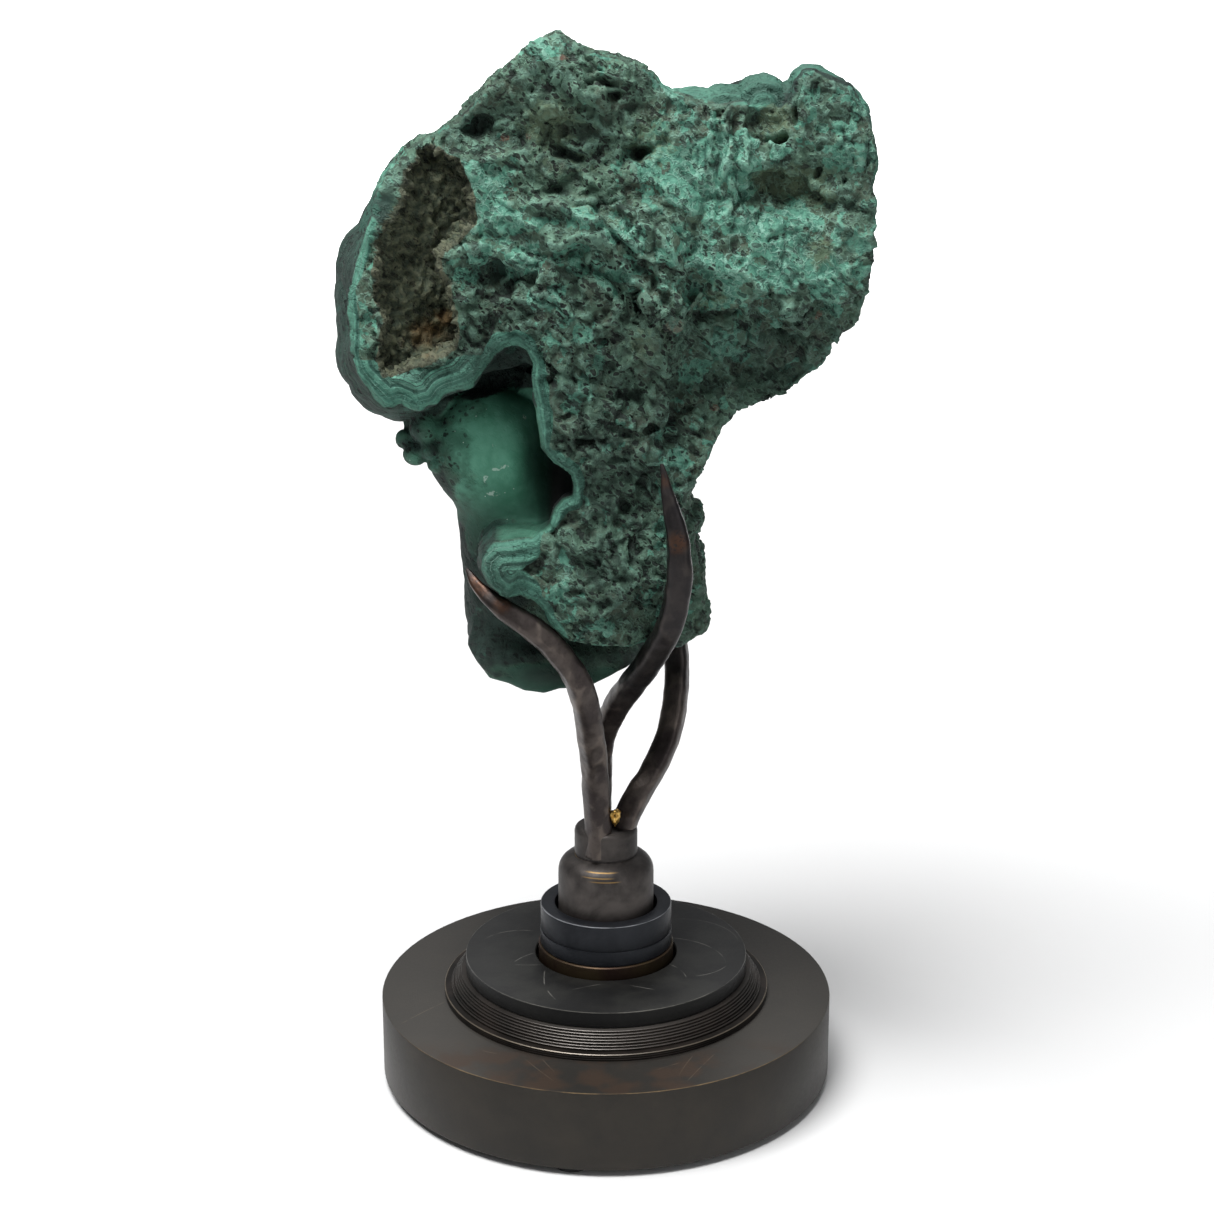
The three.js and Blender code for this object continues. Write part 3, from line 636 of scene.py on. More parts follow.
def velvet_share(p, front, on_column, cleft, roof):
    """How silky each point is: on the column, in the cleft, on the knobs and on the curl."""
    x, y, _ = p.T
    velvet = patches(p, VELVET) * 1.6 + 0.35 * swell(p, 7, 57) + 0.2 * swell(p, 2.5, 48)
    velvet = np.maximum(on_column * np.clip(velvet, 0, 1), cleft * ramp(1, 4, ellipsoid(p, CURL)))
    velvet = velvet * ramp(10, 2, y + 4 * swell(p, 8, 47))
    knobs = ramp(1.4, 0.4, nearest_of(p, KNOBS))
    velvet = np.maximum(velvet, knobs * (0.42 + 0.25 * swell(p, 3, 46)))
    curl = ramp(4, 2, ellipsoid(p, CURL)) * ramp(-33, -27, x) * (1 - front)
    return np.maximum(velvet, 0.6 * curl) * (1 - roof)


def rind_share(p, front):
    """How much each point shows the rind's layers, and how far inside the stone's edge it lies."""
    x, _, z = p.T
    inside = -face_edge(x, z) + 0.6 * swell(p, 7, 51) + 0.3 * swell(p, 2.6, 52)
    width = np.zeros(len(p))
    for *patch, wide in RIND:
        width = np.maximum(width, wide * plateau(x, z, *patch))
    width = width * (1 + 0.2 * swell(p, 5, 53))
    rind = front * ramp(-0.6, 0.6, width - inside)
    for cx, cz, radius in ROSES:
        reach = np.hypot(x - cx, z - cz) + 1.6 * swell(p, 4.5, 50)
        rose = front * ramp(radius, radius - 0.8, reach) * ramp(-0.3, 0.3, swell(p, 5, 49))
        inside = np.where(rose > rind, reach, inside)
        rind = np.maximum(rind, 0.5 * rose)
    return rind, inside


def layer_depth(p, front, inside, lumps):
    """Which of the stone's layers each point cuts, counted in millimetres."""
    swirled = inside + 0.5 * swell(p, 9, 59) + 0.25 * swell(p, 3.2, 60)
    wander = swell(p, 4, 58)
    sheets = 0.55 * (p[:, 1] - FACE_PLANE) + 1.4 * swell(p, 12, 54) + 0.4 * wander
    flattened = [ellipsoid(p * (1, 0, 1) + (0, lump[0][1], 0), lump) for lump in LUMPS]
    arcs = -np.minimum.reduce(flattened) + 0.5 * wander
    return np.where(front > 0.5, swirled, np.where(lumps > 0.3, 0.8 * arcs, sheets))


def zones(p):
    """Which part of the stone each point belongs to."""
    x, y, z = p.T
    front = ramp(3.5, 0.8, y - face_plane(x, z))
    broken = np.clip(np.maximum(front, patches(p, BROKEN) + 0.3 * swell(p, 8, 55)), 0, 1)
    cavity = ramp(1.3, 0.2, cavity_mouth(p) + 0.3 * swell(p, 2.5, 56))
    on_column = ramp(0.4, 2.5, np.minimum(upper_stone(p), ellipsoid(p, CURL))) * ramp(0.5, 0.3, front)
    slot = ramp(1.4, 0.3, np.abs(ellipsoid(levelled(p), SLOT))) * ramp(-15, -9, y)
    cleft = (1 - front) * between(x, *CLEFT_X) * between(z, *CLEFT_Z)
    roof = ramp(ROOF_HEIGHT, ROOF_HEIGHT + 2, z - ROOF_CLIMB * (x - SLOT[0][0]))
    roof = roof * between(x, *ROOF_X) * (1 - front)
    shade = cleft * np.maximum(ramp(-24, -13, x), 0.6 * ramp(178, 163, z))
    shade = np.maximum(shade, 0.9 * roof * ramp(-22, -17, y) * on_column)
    velvet = velvet_share(p, front, on_column, cleft, roof)
    lumps = ramp(1.2, 0.2, nearest_of(p, LUMPS)) * (1 - front)
    rind, inside = rind_share(p, front)
    return {
        "cavity": cavity,
        "velvet": velvet * (1 - cavity) * (1 - slot),
        "front": front,
        "column": on_column,
        "face": np.maximum(front, broken * (1 - on_column)) * (1 - cavity),
        "skin": (1 - np.maximum(front, broken)) * (1 - cavity) * (1 - velvet * (1 - slot)),
        "rind": np.maximum(rind, 0.6 * lumps) * (1 - cavity),
        "layer": layer_depth(p, front, inside, lumps),
        "inner": ramp(7, 8.4, inside) * np.clip(2 * patches(p, PALE_CORE), 0, 1),
        "lumps": lumps,
        "slot": slot,
        "shade": shade,
    }


def stone_relief(p, zone):
    """How far in, in millimetres, the surface lies below the plain form; and what colours it."""
    face = zone["face"] * (1 - zone["rind"])
    spongy = np.clip(patches(p, SPONGY) + 0.25, 0, 1)
    calm = patches(p, TEAL)
    ribbed = patches(p, RIBBED)
    rough = 1 - np.maximum(0.7 * calm, 0.9 * ribbed)
    big = ragged(p, 7, 61) * spongy
    small = ragged(p, 2.8, 63) * np.clip(spongy + 0.3, 0, 1) * rough
    crack = cracks(p, 4.5, 67) * (1 - patches(p, OLIVE))
    lines, hole = face_detail(p)
    crag = crags(p, 17, 4, 65, sharp=0.5)
    blocks, block_tag = chips(warp(p, 9, 3, 90), 8.5, 100)
    shards, shard_tag = chips(warp(p, 4, 1.4, 93), 3.6, 110)
    crumbs, crumb_tag = chips(warp(p, 2, 0.6, 96), 1.7, 120)
    facets = 1.2 * blocks * (1 - 0.6 * ribbed) + 0.9 * rough * shards + 0.35 * rough * crumbs
    broken = 2.3 * crag * (1 - 0.5 * ribbed) + facets + 1.6 * big + 1.1 * small + 1.2 * crack
    broken = (broken + zone["front"] * lines) * (0.55 + 0.45 * zone["front"]) * (1 - 0.3 * calm)
    near, _, _ = grains(warp(p, 3, 0.8, 70), 2.5, 71)
    granules = 2.8 * near - 1.4 + 2.6 * crags(p, 8, 3, 72) + 1.1 * crumbs
    lumps, _, _ = grains(warp(p, 9, 2.5, 75), 10, 76)
    botryoidal = 2.0 * lumps**2 - 0.8 + 0.4 * crags(p, 3, 3, 77) + 0.9 * crags(p, 14, 2, 78)
    column = 0.6 * swell(p, 15, 80) + 0.2 * swell(p, 5, 81)
    rough_column = 0.7 * ragged(p, 2.4, 83, 0.1, 0.4) + 0.5 * crags(p, 5, 3, 84)
    rind = 0.2 * np.sin(zone["layer"] * 2.3) + 0.12 * np.sin(zone["layer"] * 5.1) + 0.4 * swell(p, 4, 82)
    rind = rind + 1.2 * crag + 0.35 * shards + 0.3 * ragged(p, 2.2, 86)
    rind = rind + 0.7 * zone["lumps"] * (np.sin(zone["layer"] * 2.4) - crag - 0.3 * shards)
    outside = np.where(zone["column"] > 0.5, column + rough_column * (1 - zone["velvet"]), botryoidal)
    depth = (
        face * broken
        + zone["cavity"] * granules
        + zone["skin"] * outside
        + zone["velvet"] * column
        + zone["rind"] * rind
    )
    pit = np.maximum.reduce([0.3 * big**2, 0.5 * small, 0.8 * crack, 0.55 * hole * zone["front"]])
    tone = 0.5 + 0.55 * (shard_tag - 0.5) + 0.4 * (block_tag - 0.5) + 0.25 * (crumb_tag - 0.5)
    return depth, {"pit": face * pit, "tone": tone, "spongy": spongy}


def shape_masks(piece):
    """How much each vertex is on an edge, judged by its near neighbours, and in a nook, by far ones."""
    p = vertices_of(piece)
    count = len(piece.data.vertices)
    ends = np.empty(2 * len(piece.data.edges), np.int64)
    piece.data.edges.foreach_get("vertices", ends)
    ends = ends.reshape(-1, 2)
    normal = np.empty(3 * count, np.float32)
    piece.data.vertices.foreach_get("normal", normal)
    normal = normal.reshape(-1, 3)
    both = np.concatenate([ends[:, 0], ends[:, 1]])
    other = np.concatenate([ends[:, 1], ends[:, 0]])
    degree = np.maximum(np.bincount(both, minlength=count), 1)

    def blurred(values):
        return np.bincount(both, weights=values[other], minlength=count) / degree

    near = p
    for _ in range(2):
        near = np.stack([blurred(near[:, axis]) for axis in range(3)], axis=1)
    sharp = ((p - near) * normal).sum(axis=1)
    far = near
    for _ in range(14):
        far = np.stack([blurred(far[:, axis]) for axis in range(3)], axis=1)
    sunk = ((far - p) * normal).sum(axis=1)
    return blurred(sharp), blurred(sunk)


def write_colours(piece, name, *channels):
    """Stores up to three values from 0 to 1 for each vertex, as a colour attribute."""
    attribute = piece.data.attributes.new(name, "FLOAT_COLOR", "POINT")
    values = np.ones((len(piece.data.vertices), 4), np.float32)
    for at, channel in enumerate(channels):
        values[:, at] = np.clip(channel, 0, 1)
    attribute.data.foreach_set("color", values.ravel())


MALACHITE_TRIANGLES = 198000
# How many steps the share of triangles that a part of the stone keeps is rounded to.
KEEP_LEVELS = 5
# The layers' depth in millimetres that a painted value of 1 stands for.
LAYER_SPAN = 40
# Voxel size in millimetres, and how many times the surface is then pulled onto the form.
REMESH_STEPS = ((1.5, 4), (1.2, 3), (0.6, 1))
# The rim under the hollow, added to the block before it is pulled to the form, and its front and back.
LEDGE_DEPTH = (-29, -17)
LEDGE = [
    (-52, 206), (-44, 205.5), (-39, 206.5), (-35.5, 209.5), (-31.5, 213.5), (-28.5, 218), (-26, 221),
    (-32, 226), (-36, 222), (-36, 218), (-40.5, 214.5), (-46, 212.5), (-54, 211),
]


def prism(outline, front, back):
    """A closed block with the given outline in X and Z, in millimetres."""
    mesh = bpy.data.meshes.new("prism")
    mesh.from_pydata([(x * MM, front * MM, z * MM) for x, z in outline], [], [tuple(range(len(outline)))])
    piece = bpy.data.objects.new("prism", mesh)
    bpy.context.collection.objects.link(piece)
    select_only(piece)
    push = {"value": (0, (back - front) * MM, 0)}
    edit_whole_mesh(
        (bpy.ops.mesh.extrude_region_move, {"TRANSFORM_OT_translate": push}),
        (bpy.ops.mesh.normals_make_consistent, {"inside": False}),
    )
    return piece


def blob(shape, climb=0.0):
    """A ball stretched to the given centre and radii, and sheared so that it climbs along X."""
    bpy.ops.object.select_all(action="DESELECT")
    bpy.ops.mesh.primitive_ico_sphere_add(subdivisions=4, radius=1)
    piece = bpy.context.object
    centre, radii = shape
    p = vertices_of(piece) * MM * np.array(radii) + np.array(centre)
    p[:, 2] += climb * (p[:, 0] - centre[0])
    move_vertices(piece, p)
    return piece


def rough_stone():
    """The node's own block with what it lacks joined on, remeshed and pulled onto the stone's form."""
    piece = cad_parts["malachite"].copy()
    piece.data = piece.data.copy()
    bpy.context.collection.objects.link(piece)
    select_only(piece)
    edit_whole_mesh((bpy.ops.mesh.remove_doubles, {"threshold": 1e-6}))
    added = [prism(LEDGE, *LEDGE_DEPTH)] + [blob(knob) for knob in [CURL] + KNOBS + LUMPS]
    select_only(piece)
    for extra in added:
        extra.select_set(True)
    bpy.ops.object.join()
    apply_modifier(piece, "REMESH", mode="VOXEL", voxel_size=REMESH_STEPS[0][0] * MM)
    slot = blob(SLOT, SLOT_CLIMB)
    apply_modifier(piece, "BOOLEAN", operation="DIFFERENCE", object=slot, solver="EXACT")
    bpy.data.objects.remove(slot)
    for size, passes in REMESH_STEPS:
        apply_modifier(piece, "REMESH", mode="VOXEL", voxel_size=size * MM)
        pull_to_form(piece, passes)
    return piece


def carve(piece):
    """Sinks the surface into its relief, and paints the masks that colour it."""
    p = vertices_of(piece)
    g, squared = form_gradient(p, stone_form(p), 0.4)
    zone = zones(p)
    depth, relief = stone_relief(p, zone)
    move_vertices(piece, p - (depth / np.sqrt(squared))[:, None] * g)
    sharp, sunk = shape_masks(piece)
    # Where the stone is painted darker: painted shade in the slot above the column, in the cleft and
    # under the roof, and the listed patches, partly painted shade and partly darker tone.
    dim = np.maximum.reduce([patches(p, PAINTED_SHADE_AND_DARK), zone["slot"], zone["shade"]])
    write_colours(piece, "zones", zone["rind"], zone["cavity"], zone["velvet"])
    write_colours(piece, "shape", 0.5 + sharp, 0.5 + 0.5 * sunk, relief["pit"])
    write_colours(piece, "tints", patches(p, TEAL), patches(p, OLIVE), patches(p, RUST))
    write_colours(piece, "tones", zone["skin"], relief["tone"], zone["layer"] / LAYER_SPAN)
    write_colours(piece, "marks_and_painted_light", zone["inner"], relief["spongy"], dim)
    return p, zone


def thin_out(piece, p, zone):
    """Takes triangles away, fewest where the stone is rough or faces the front."""
    keep = 0.12 + zone["face"] + zone["cavity"] + 0.5 * zone["velvet"] + 0.4 * ramp(26, 6, p[:, 1])
    keep = np.clip(keep + 0.5 * zone["lumps"], 0, 1)
    keep = np.maximum(keep, ramp(3, 1, nearest_of(p, KNOBS)))
    group = piece.vertex_groups.new(name="plain")
    level = np.minimum(np.floor(keep * KEEP_LEVELS), KEEP_LEVELS - 1)
    for step in range(KEEP_LEVELS):
        chosen = np.nonzero(level == step)[0]
        group.add(chosen.tolist(), 1 - step / KEEP_LEVELS, "REPLACE")
    piece.data.calc_loop_triangles()
    ratio = MALACHITE_TRIANGLES / len(piece.data.loop_triangles)
    apply_modifier(piece, "DECIMATE", ratio=ratio, vertex_group="plain", vertex_group_factor=0.6)
    piece.vertex_groups.clear()


def make_stone(material):
    piece = rough_stone()
    p, zone = carve(piece)
    thin_out(piece, p, zone)
    select_only(piece)
    bpy.ops.object.shade_smooth()
    finish(piece, "malachite_stone", "malachite", material)


# ---- Materials ----------------------------------------------------------------------------------
def srgb(red, green, blue):
    """A colour given by its 0-255 screen values."""
    def linear(v):
        v /= 255
        return v / 12.92 if v <= 0.04045 else ((v + 0.055) / 1.055) ** 2.4
    return (linear(red), linear(green), linear(blue), 1)


class Nodes:
    """Short ways to add and join the nodes of a tree."""

    def __init__(self, tree):
        self.tree = tree

    def add(self, kind, **settings):
        node = self.tree.nodes.new(kind)
        for setting, value in settings.items():
            setattr(node, setting, value)
        return node

    def feed(self, socket, value):
        if isinstance(value, bpy.types.NodeSocket):
            self.tree.links.new(value, socket)
        else:
            socket.default_value = value

    def group(self, tree):
        return self.add("ShaderNodeGroup", node_tree=tree)

    def math(self, operation, *values, clamp=False):
        node = self.add("ShaderNodeMath", operation=operation, use_clamp=clamp)
        for at, value in enumerate(values):
            self.feed(node.inputs[at], value)
        return node.outputs[0]

    def mix(self, share, first, second):
        node = self.add("ShaderNodeMix", data_type="RGBA")
        self.feed(node.inputs["Factor"], share)
        self.feed(node.inputs["A"], first)
        self.feed(node.inputs["B"], second)
        return node.outputs["Result"]

    def tint(self, colour, target, mask, share):
        """The colour drawn towards the target where the mask is 1, by at most the share."""
        return self.mix(self.math("MULTIPLY", mask, share), colour, target)

    def off(self, value, middle=0.0):
        """How far a value is from the middle."""
        return self.math("ABSOLUTE", self.math("SUBTRACT", value, middle))

    def ramp(self, value, low, high):
        """0 below low and 1 above high, with soft ends."""
        node = self.add("ShaderNodeMapRange", interpolation_type="SMOOTHSTEP")
        self.feed(node.inputs["Value"], value)
        node.inputs["From Min"].default_value = low
        node.inputs["From Max"].default_value = high
        return node.outputs["Result"]

    def scaled(self, vector, scale, shift=(0, 0, 0)):
        """The vector times the scale, plus the shift."""
        node = self.add("ShaderNodeVectorMath", operation="MULTIPLY_ADD")
        self.feed(node.inputs[0], vector)
        node.inputs[1].default_value = scale
        node.inputs[2].default_value = shift
        return node.outputs["Vector"]

    def length(self, vector):
        node = self.add("ShaderNodeVectorMath", operation="LENGTH")
        self.feed(node.inputs[0], vector)
        return node.outputs["Value"]

    def place(self):
        """Object coordinates in millimetres."""
        at = self.add("ShaderNodeTexCoord").outputs["Object"]
        return self.scaled(at, (1 / MM, 1 / MM, 1 / MM))

    def near(self, at, spot, reach, core):
        """1 within the core of a spot, fading to 0 at its reach."""
        node = self.add("ShaderNodeVectorMath", operation="DISTANCE")
        self.feed(node.inputs[0], at)
        node.inputs[1].default_value = spot
        return self.ramp(node.outputs["Value"], reach, core)

    def height(self, axis="Z"):
        """One object coordinate in millimetres."""
        node = self.add("ShaderNodeSeparateXYZ")
        self.feed(node.inputs[0], self.place())
        return node.outputs[axis]

    def noise(self, at, size, detail=3.0, rough=0.5, distort=0.0):
        node = self.add("ShaderNodeTexNoise")
        self.feed(node.inputs["Vector"], at)
        node.inputs["Scale"].default_value = 1 / size
        node.inputs["Detail"].default_value = detail
        node.inputs["Roughness"].default_value = rough
        node.inputs["Distortion"].default_value = distort
        return node.outputs["Fac"]

    def line_noise(self, along, scale=1.0, detail=2.0):
        """Noise that changes with one value alone."""
        node = self.add("ShaderNodeTexNoise", noise_dimensions="1D")
        self.feed(node.inputs["W"], along)
        node.inputs["Scale"].default_value = scale
        node.inputs["Detail"].default_value = detail
        return node.outputs["Fac"]

    def warp(self, at, size, reach):
        """The point pushed about by noise, by up to so many millimetres."""
        noise = self.add("ShaderNodeTexNoise")
        self.feed(noise.inputs["Vector"], at)
        noise.inputs["Scale"].default_value = 1 / size
        push = self.add("ShaderNodeVectorMath", operation="MULTIPLY_ADD")
        self.feed(push.inputs[0], noise.outputs["Color"])
        push.inputs[1].default_value = (2 * reach, 2 * reach, 2 * reach)
        self.feed(push.inputs[2], at)
        return push.outputs["Vector"]

    def slanted(self, at, degrees, stretch):
        """The point for a texture drawn out along a line that leans down to the right in X and Z."""
        node = self.add("ShaderNodeMapping", vector_type="TEXTURE")
        self.feed(node.inputs["Vector"], at)
        node.inputs["Rotation"].default_value = (0, math.radians(degrees), 0)
        node.inputs["Scale"].default_value = (stretch, 1, 1)
        return node.outputs["Vector"]

    def cells(self, at, size, feature="F1", output="Distance"):
        node = self.add("ShaderNodeTexVoronoi", feature=feature)
        self.feed(node.inputs["Vector"], at)
        node.inputs["Scale"].default_value = 1 / size
        return node.outputs[output]

    def painted(self, name):
        """The three channels of a colour attribute."""
        node = self.add("ShaderNodeAttribute", attribute_name=name)
        split = self.add("ShaderNodeSeparateColor")
        self.feed(split.inputs["Color"], node.outputs["Color"])
        return split.outputs[0], split.outputs[1], split.outputs[2]

    def pushed(self, mask, texture, reach, low, high):
        """A painted mask whose border is broken up by a texture."""
        push = self.math("SUBTRACT", texture, 0.5)
        return self.ramp(self.math("MULTIPLY_ADD", push, reach, mask), low, high)

    def bump(self, shader, height, strength, distance):
        """Roughens the shader's normal by relief of so many millimetres."""
        node = self.add("ShaderNodeBump")
        node.inputs["Strength"].default_value = strength
        node.inputs["Distance"].default_value = distance * MM
        self.feed(node.inputs["Height"], height)
        self.feed(shader.inputs["Normal"], node.outputs["Normal"])


def new_material(name):
    material = bpy.data.materials.new(name)
    material.use_nodes = True
    shader = material.node_tree.nodes["Principled BSDF"]
    return material, Nodes(material.node_tree), shader


# ---- The stone's material -----------------------------------------------------------------------
# Pale scratches on the column: x, z, half width, half height.
SCRATCHES = [
    (-29.9, 190.4, 0.6, 0.6), (-31.9, 180.9, 0.9, 1.4), (-30.2, 176.7, 2, 0.9), (-27, 184.4, 1.6, 0.6),
    (-21.6, 196.8, 0.5, 1.4), (-29.2, 183.8, 1.3, 0.5),
]
# Widths in millimetres of the rind's fine and broad bands.
FINE_BAND, BROAD_BAND = 1.0, 2.6


def stone_textures(n):
    """The painted masks, and the textures that the stone's surfaces share."""
    t = SimpleNamespace(at=n.place())
    t.rind, t.cavity, t.velvet = n.painted("zones")
    sharp, sunk, t.pit = n.painted("shape")
    t.teal, t.olive, t.rust = n.painted("tints")
    t.skin, t.tone, t.layer = n.painted("tones")
    t.inner, t.spongy, t.dim = n.painted("marks_and_painted_light")
    # Crests and nooks judged from the mesh: the colours are painted paler on crests, partly as a painted
    # highlight, and darker in nooks as painted shade.
    t.edge = n.ramp(sharp, 0.54, 0.68)
    t.nook = n.ramp(sunk, 0.54, 1.0)
    stirred = n.warp(t.at, 3.5, 1.6)
    leaning = n.slanted(n.warp(t.at, 3, 1.1), 35, 2)
    t.soft = n.noise(t.at, 6, 4, 0.6)
    t.fine = n.noise(stirred, 1.6, 4, 0.65)
    t.patchy = n.noise(stirred, 4, 3, 0.6)
    wall = n.cells(n.warp(t.at, 2, 2.1), 3.2, "DISTANCE_TO_EDGE")
    t.thread = n.math("MULTIPLY", n.ramp(wall, 0.1, 0.03), n.ramp(t.patchy, 0.4, 0.5))
    t.crevice = n.ramp(n.noise(leaning, 2.8, 3.5, 0.6), 0.43, 0.37)
    hollow = n.cells(leaning, 1.8)
    sparse = n.ramp(n.noise(t.at, 3, 3), 0.44, 0.5)
    t.pore = n.math("MULTIPLY", n.ramp(hollow, 0.36, 0.29), sparse)
    t.brink = n.math("MULTIPLY", n.math("SUBTRACT", n.ramp(hollow, 0.52, 0.42), t.pore), sparse)
    t.teal_share = n.pushed(n.pushed(t.teal, t.tone, 1.3, 0.05, 0.95), t.patchy, 1.6, 0.41, 0.55)
    t.fine_band = n.line_noise(n.math("MULTIPLY", t.layer, LAYER_SPAN / FINE_BAND))
    t.broad_band = n.line_noise(n.math("MULTIPLY", t.layer, LAYER_SPAN / BROAD_BAND))
    t.stripe = n.ramp(t.fine_band, 0.4, 0.66)
    return t


def spongy_colour(n, t):
    """The broken, spongy body of the stone: paler on its crests, partly as a painted highlight, with
    painted shade in its pores, crevices, nooks and pits.
    """
    colour = n.mix(n.ramp(t.soft, 0.35, 0.65), srgb(48, 68, 57), srgb(72, 100, 83))
    earthy = n.ramp(n.noise(n.warp(t.at, 6, 3), 10, 4, 0.6), 0.5, 0.62)
    colour = n.tint(colour, srgb(70, 71, 57), earthy, 0.5)
    colour = n.tint(colour, srgb(84, 118, 98), n.ramp(t.fine, 0.45, 0.64), 0.5)
    teal_colour = n.mix(n.ramp(t.fine, 0.35, 0.6), srgb(56, 107, 91), srgb(86, 142, 122))
    colour = n.tint(colour, teal_colour, t.teal_share, 0.92)
    olive_share = n.pushed(t.olive, t.fine, 1.2, 0.3, 0.7)
    colour = n.tint(colour, srgb(78, 92, 68), olive_share, 0.8)
    colour = n.mix(n.pushed(t.rust, t.fine, 1.6, 0.55, 0.85), colour, srgb(88, 62, 50))
    # Paler on sharp crests: partly the crusts' pale rims, partly a painted highlight.
    colour = n.tint(colour, srgb(116, 160, 142), t.edge, n.math("MULTIPLY_ADD", t.teal, 0.45, 0.2))
    colour = n.tint(colour, srgb(132, 176, 159), t.thread, n.math("MULTIPLY_ADD", t.teal, 0.65, 0.08))
    colour = n.mix(n.math("MULTIPLY", t.brink, 0.3, clamp=True), colour, srgb(112, 146, 124))
    # Painted shade: the small pores and the crevices are darkened as holes in shade.
    black_pores = n.math("MULTIPLY_ADD", t.spongy, 0.55, 0.4, clamp=True)
    colour = n.tint(colour, srgb(12, 18, 15), t.pore, black_pores)
    colour = n.tint(colour, srgb(18, 26, 22), t.crevice, n.math("MULTIPLY_ADD", t.teal, -0.5, 0.9))
    # Painted shade in the nooks.
    colour = n.tint(colour, srgb(20, 30, 26), t.nook, 0.45)
    colour = n.tint(colour, srgb(80, 98, 76), olive_share, 0.3)
    # Painted shade in the carved pits and holes.
    colour = n.tint(colour, srgb(12, 18, 15), n.ramp(t.pit, 0.1, 0.8), 0.7)
    # Painted shade, and partly darker tone, where the stone is painted darker.
    return n.tint(colour, srgb(14, 32, 28), t.dim, 0.55)


def banded_colour(n, t):
    """The layered rind, cut across, with painted shade in its nooks and where the stone is painted
    darker.
    """
    colour = n.mix(n.ramp(t.broad_band, 0.4, 0.6), srgb(26, 60, 51), srgb(50, 97, 83))
    strength = n.math("MULTIPLY", t.stripe, n.ramp(t.soft, 0.25, 0.5))
    colour = n.mix(strength, colour, srgb(84, 138, 119))
    hairline = n.math("MULTIPLY", n.ramp(n.off(t.fine_band, 0.5), 0.03, 0), t.teal)
    colour = n.tint(colour, srgb(150, 194, 178), hairline, 0.7)
    colour = n.tint(colour, srgb(108, 160, 142), t.inner, 0.75)
    colour = n.tint(colour, srgb(44, 78, 68), n.ramp(t.fine, 0.5, 0.75), 0.4)
    split = n.cells(n.warp(t.at, 2.4, 1.8), 4.2, "DISTANCE_TO_EDGE")
    split = n.math("MULTIPLY", n.ramp(split, 0.045, 0.015), t.inner)
    colour = n.tint(colour, srgb(18, 32, 27), split, 0.9)
    # Painted shade in the nooks, then where the stone is painted darker, partly as shade and partly as
    # darker tone.
    colour = n.tint(colour, srgb(20, 36, 30), t.nook, 0.6)
    return n.tint(colour, srgb(36, 60, 51), t.dim, 0.62)


def outside_colour(n, t):
    """The weathered outside, with painted shade in its pores and where the stone is painted darker."""
    colour = n.mix(n.ramp(t.soft, 0.35, 0.7), srgb(24, 41, 35), srgb(42, 66, 58))
    colour = n.tint(colour, srgb(80, 112, 100), t.stripe, n.math("MULTIPLY_ADD", t.dim, -0.3, 0.3))
    colour = n.tint(colour, srgb(52, 96, 82), t.teal_share, 0.6)
    # Painted shade in the pores, then where the stone is painted darker, partly as shade and partly as
    # darker tone.
    colour = n.tint(colour, srgb(12, 17, 16), t.pore, 0.85)
    return n.tint(colour, srgb(18, 32, 28), t.dim, 0.65)


def silky_colour(n, t):
    """The velvety column, with its pale scratches and specks, partly painted glints, pitted towards its
    left side, and with painted shade in the cleft and under the roof.
    """
    colour = n.mix(n.ramp(t.soft, 0.3, 0.7), srgb(68, 130, 105), srgb(92, 156, 131))
    # Painted shade: dark green where the stone is painted darker, near black deep in the cleft and under
    # the roof.
    colour = n.tint(colour, srgb(14, 38, 30), n.ramp(t.dim, 0, 0.8), 0.85)
    colour = n.mix(n.ramp(t.dim, 0.75, 1), colour, srgb(6, 12, 10))
    ragged_place = n.warp(t.at, 1.2, 0.7)
    warp_shift = 0.7
    for x, z, half_width, half_height in SCRATCHES:
        shift = (-(x + warp_shift) / half_width, 0, -(z + warp_shift) / half_height)
        off = n.scaled(ragged_place, (1 / half_width, 0, 1 / half_height), shift)
        mark = n.math("MULTIPLY", n.ramp(n.length(off), 1, 0.7), n.ramp(t.fine, 0.46, 0.54))
        colour = n.tint(colour, srgb(184, 206, 196), mark, 0.6)
    leftward = n.math("MULTIPLY_ADD", n.math("SUBTRACT", t.soft, 0.5), 30, n.height("X"))
    weathered = n.ramp(leftward, -33, -40)
    colour = n.tint(colour, srgb(44, 72, 60), weathered, 0.5)
    colour = n.tint(colour, srgb(12, 24, 20), n.math("MULTIPLY", weathered, t.pore), 0.9)
    # Pale specks, partly painted glints.
    speck = n.ramp(n.cells(t.at, 2.6), 0.07, 0.04)
    chosen = n.ramp(n.cells(t.at, 2.6, output="Color"), 0.55, 0.6)
    return n.tint(colour, srgb(190, 214, 204), chosen, speck)


def crusty_colour(n, t):
    """The hollow in the left lobe, paler on its crests, partly as a painted highlight, with painted shade
    in its pores and nooks.
    """
    colour = n.mix(n.ramp(t.fine, 0.35, 0.7), srgb(68, 80, 66), srgb(106, 112, 88))
    colour = n.mix(n.pushed(t.rust, t.soft, 1.2, 0.3, 0.9), colour, srgb(124, 102, 68))
    # Paler on crests, partly a painted highlight; then painted shade in the pores and nooks.
    colour = n.tint(colour, srgb(120, 120, 96), t.edge, 0.3)
    colour = n.tint(colour, srgb(16, 16, 13), t.pore, 0.6)
    colour = n.tint(colour, srgb(18, 20, 16), t.nook, 0.6)
    return n.tint(colour, srgb(46, 46, 34), n.ramp(n.height("Y"), -20, -26), 0.45)


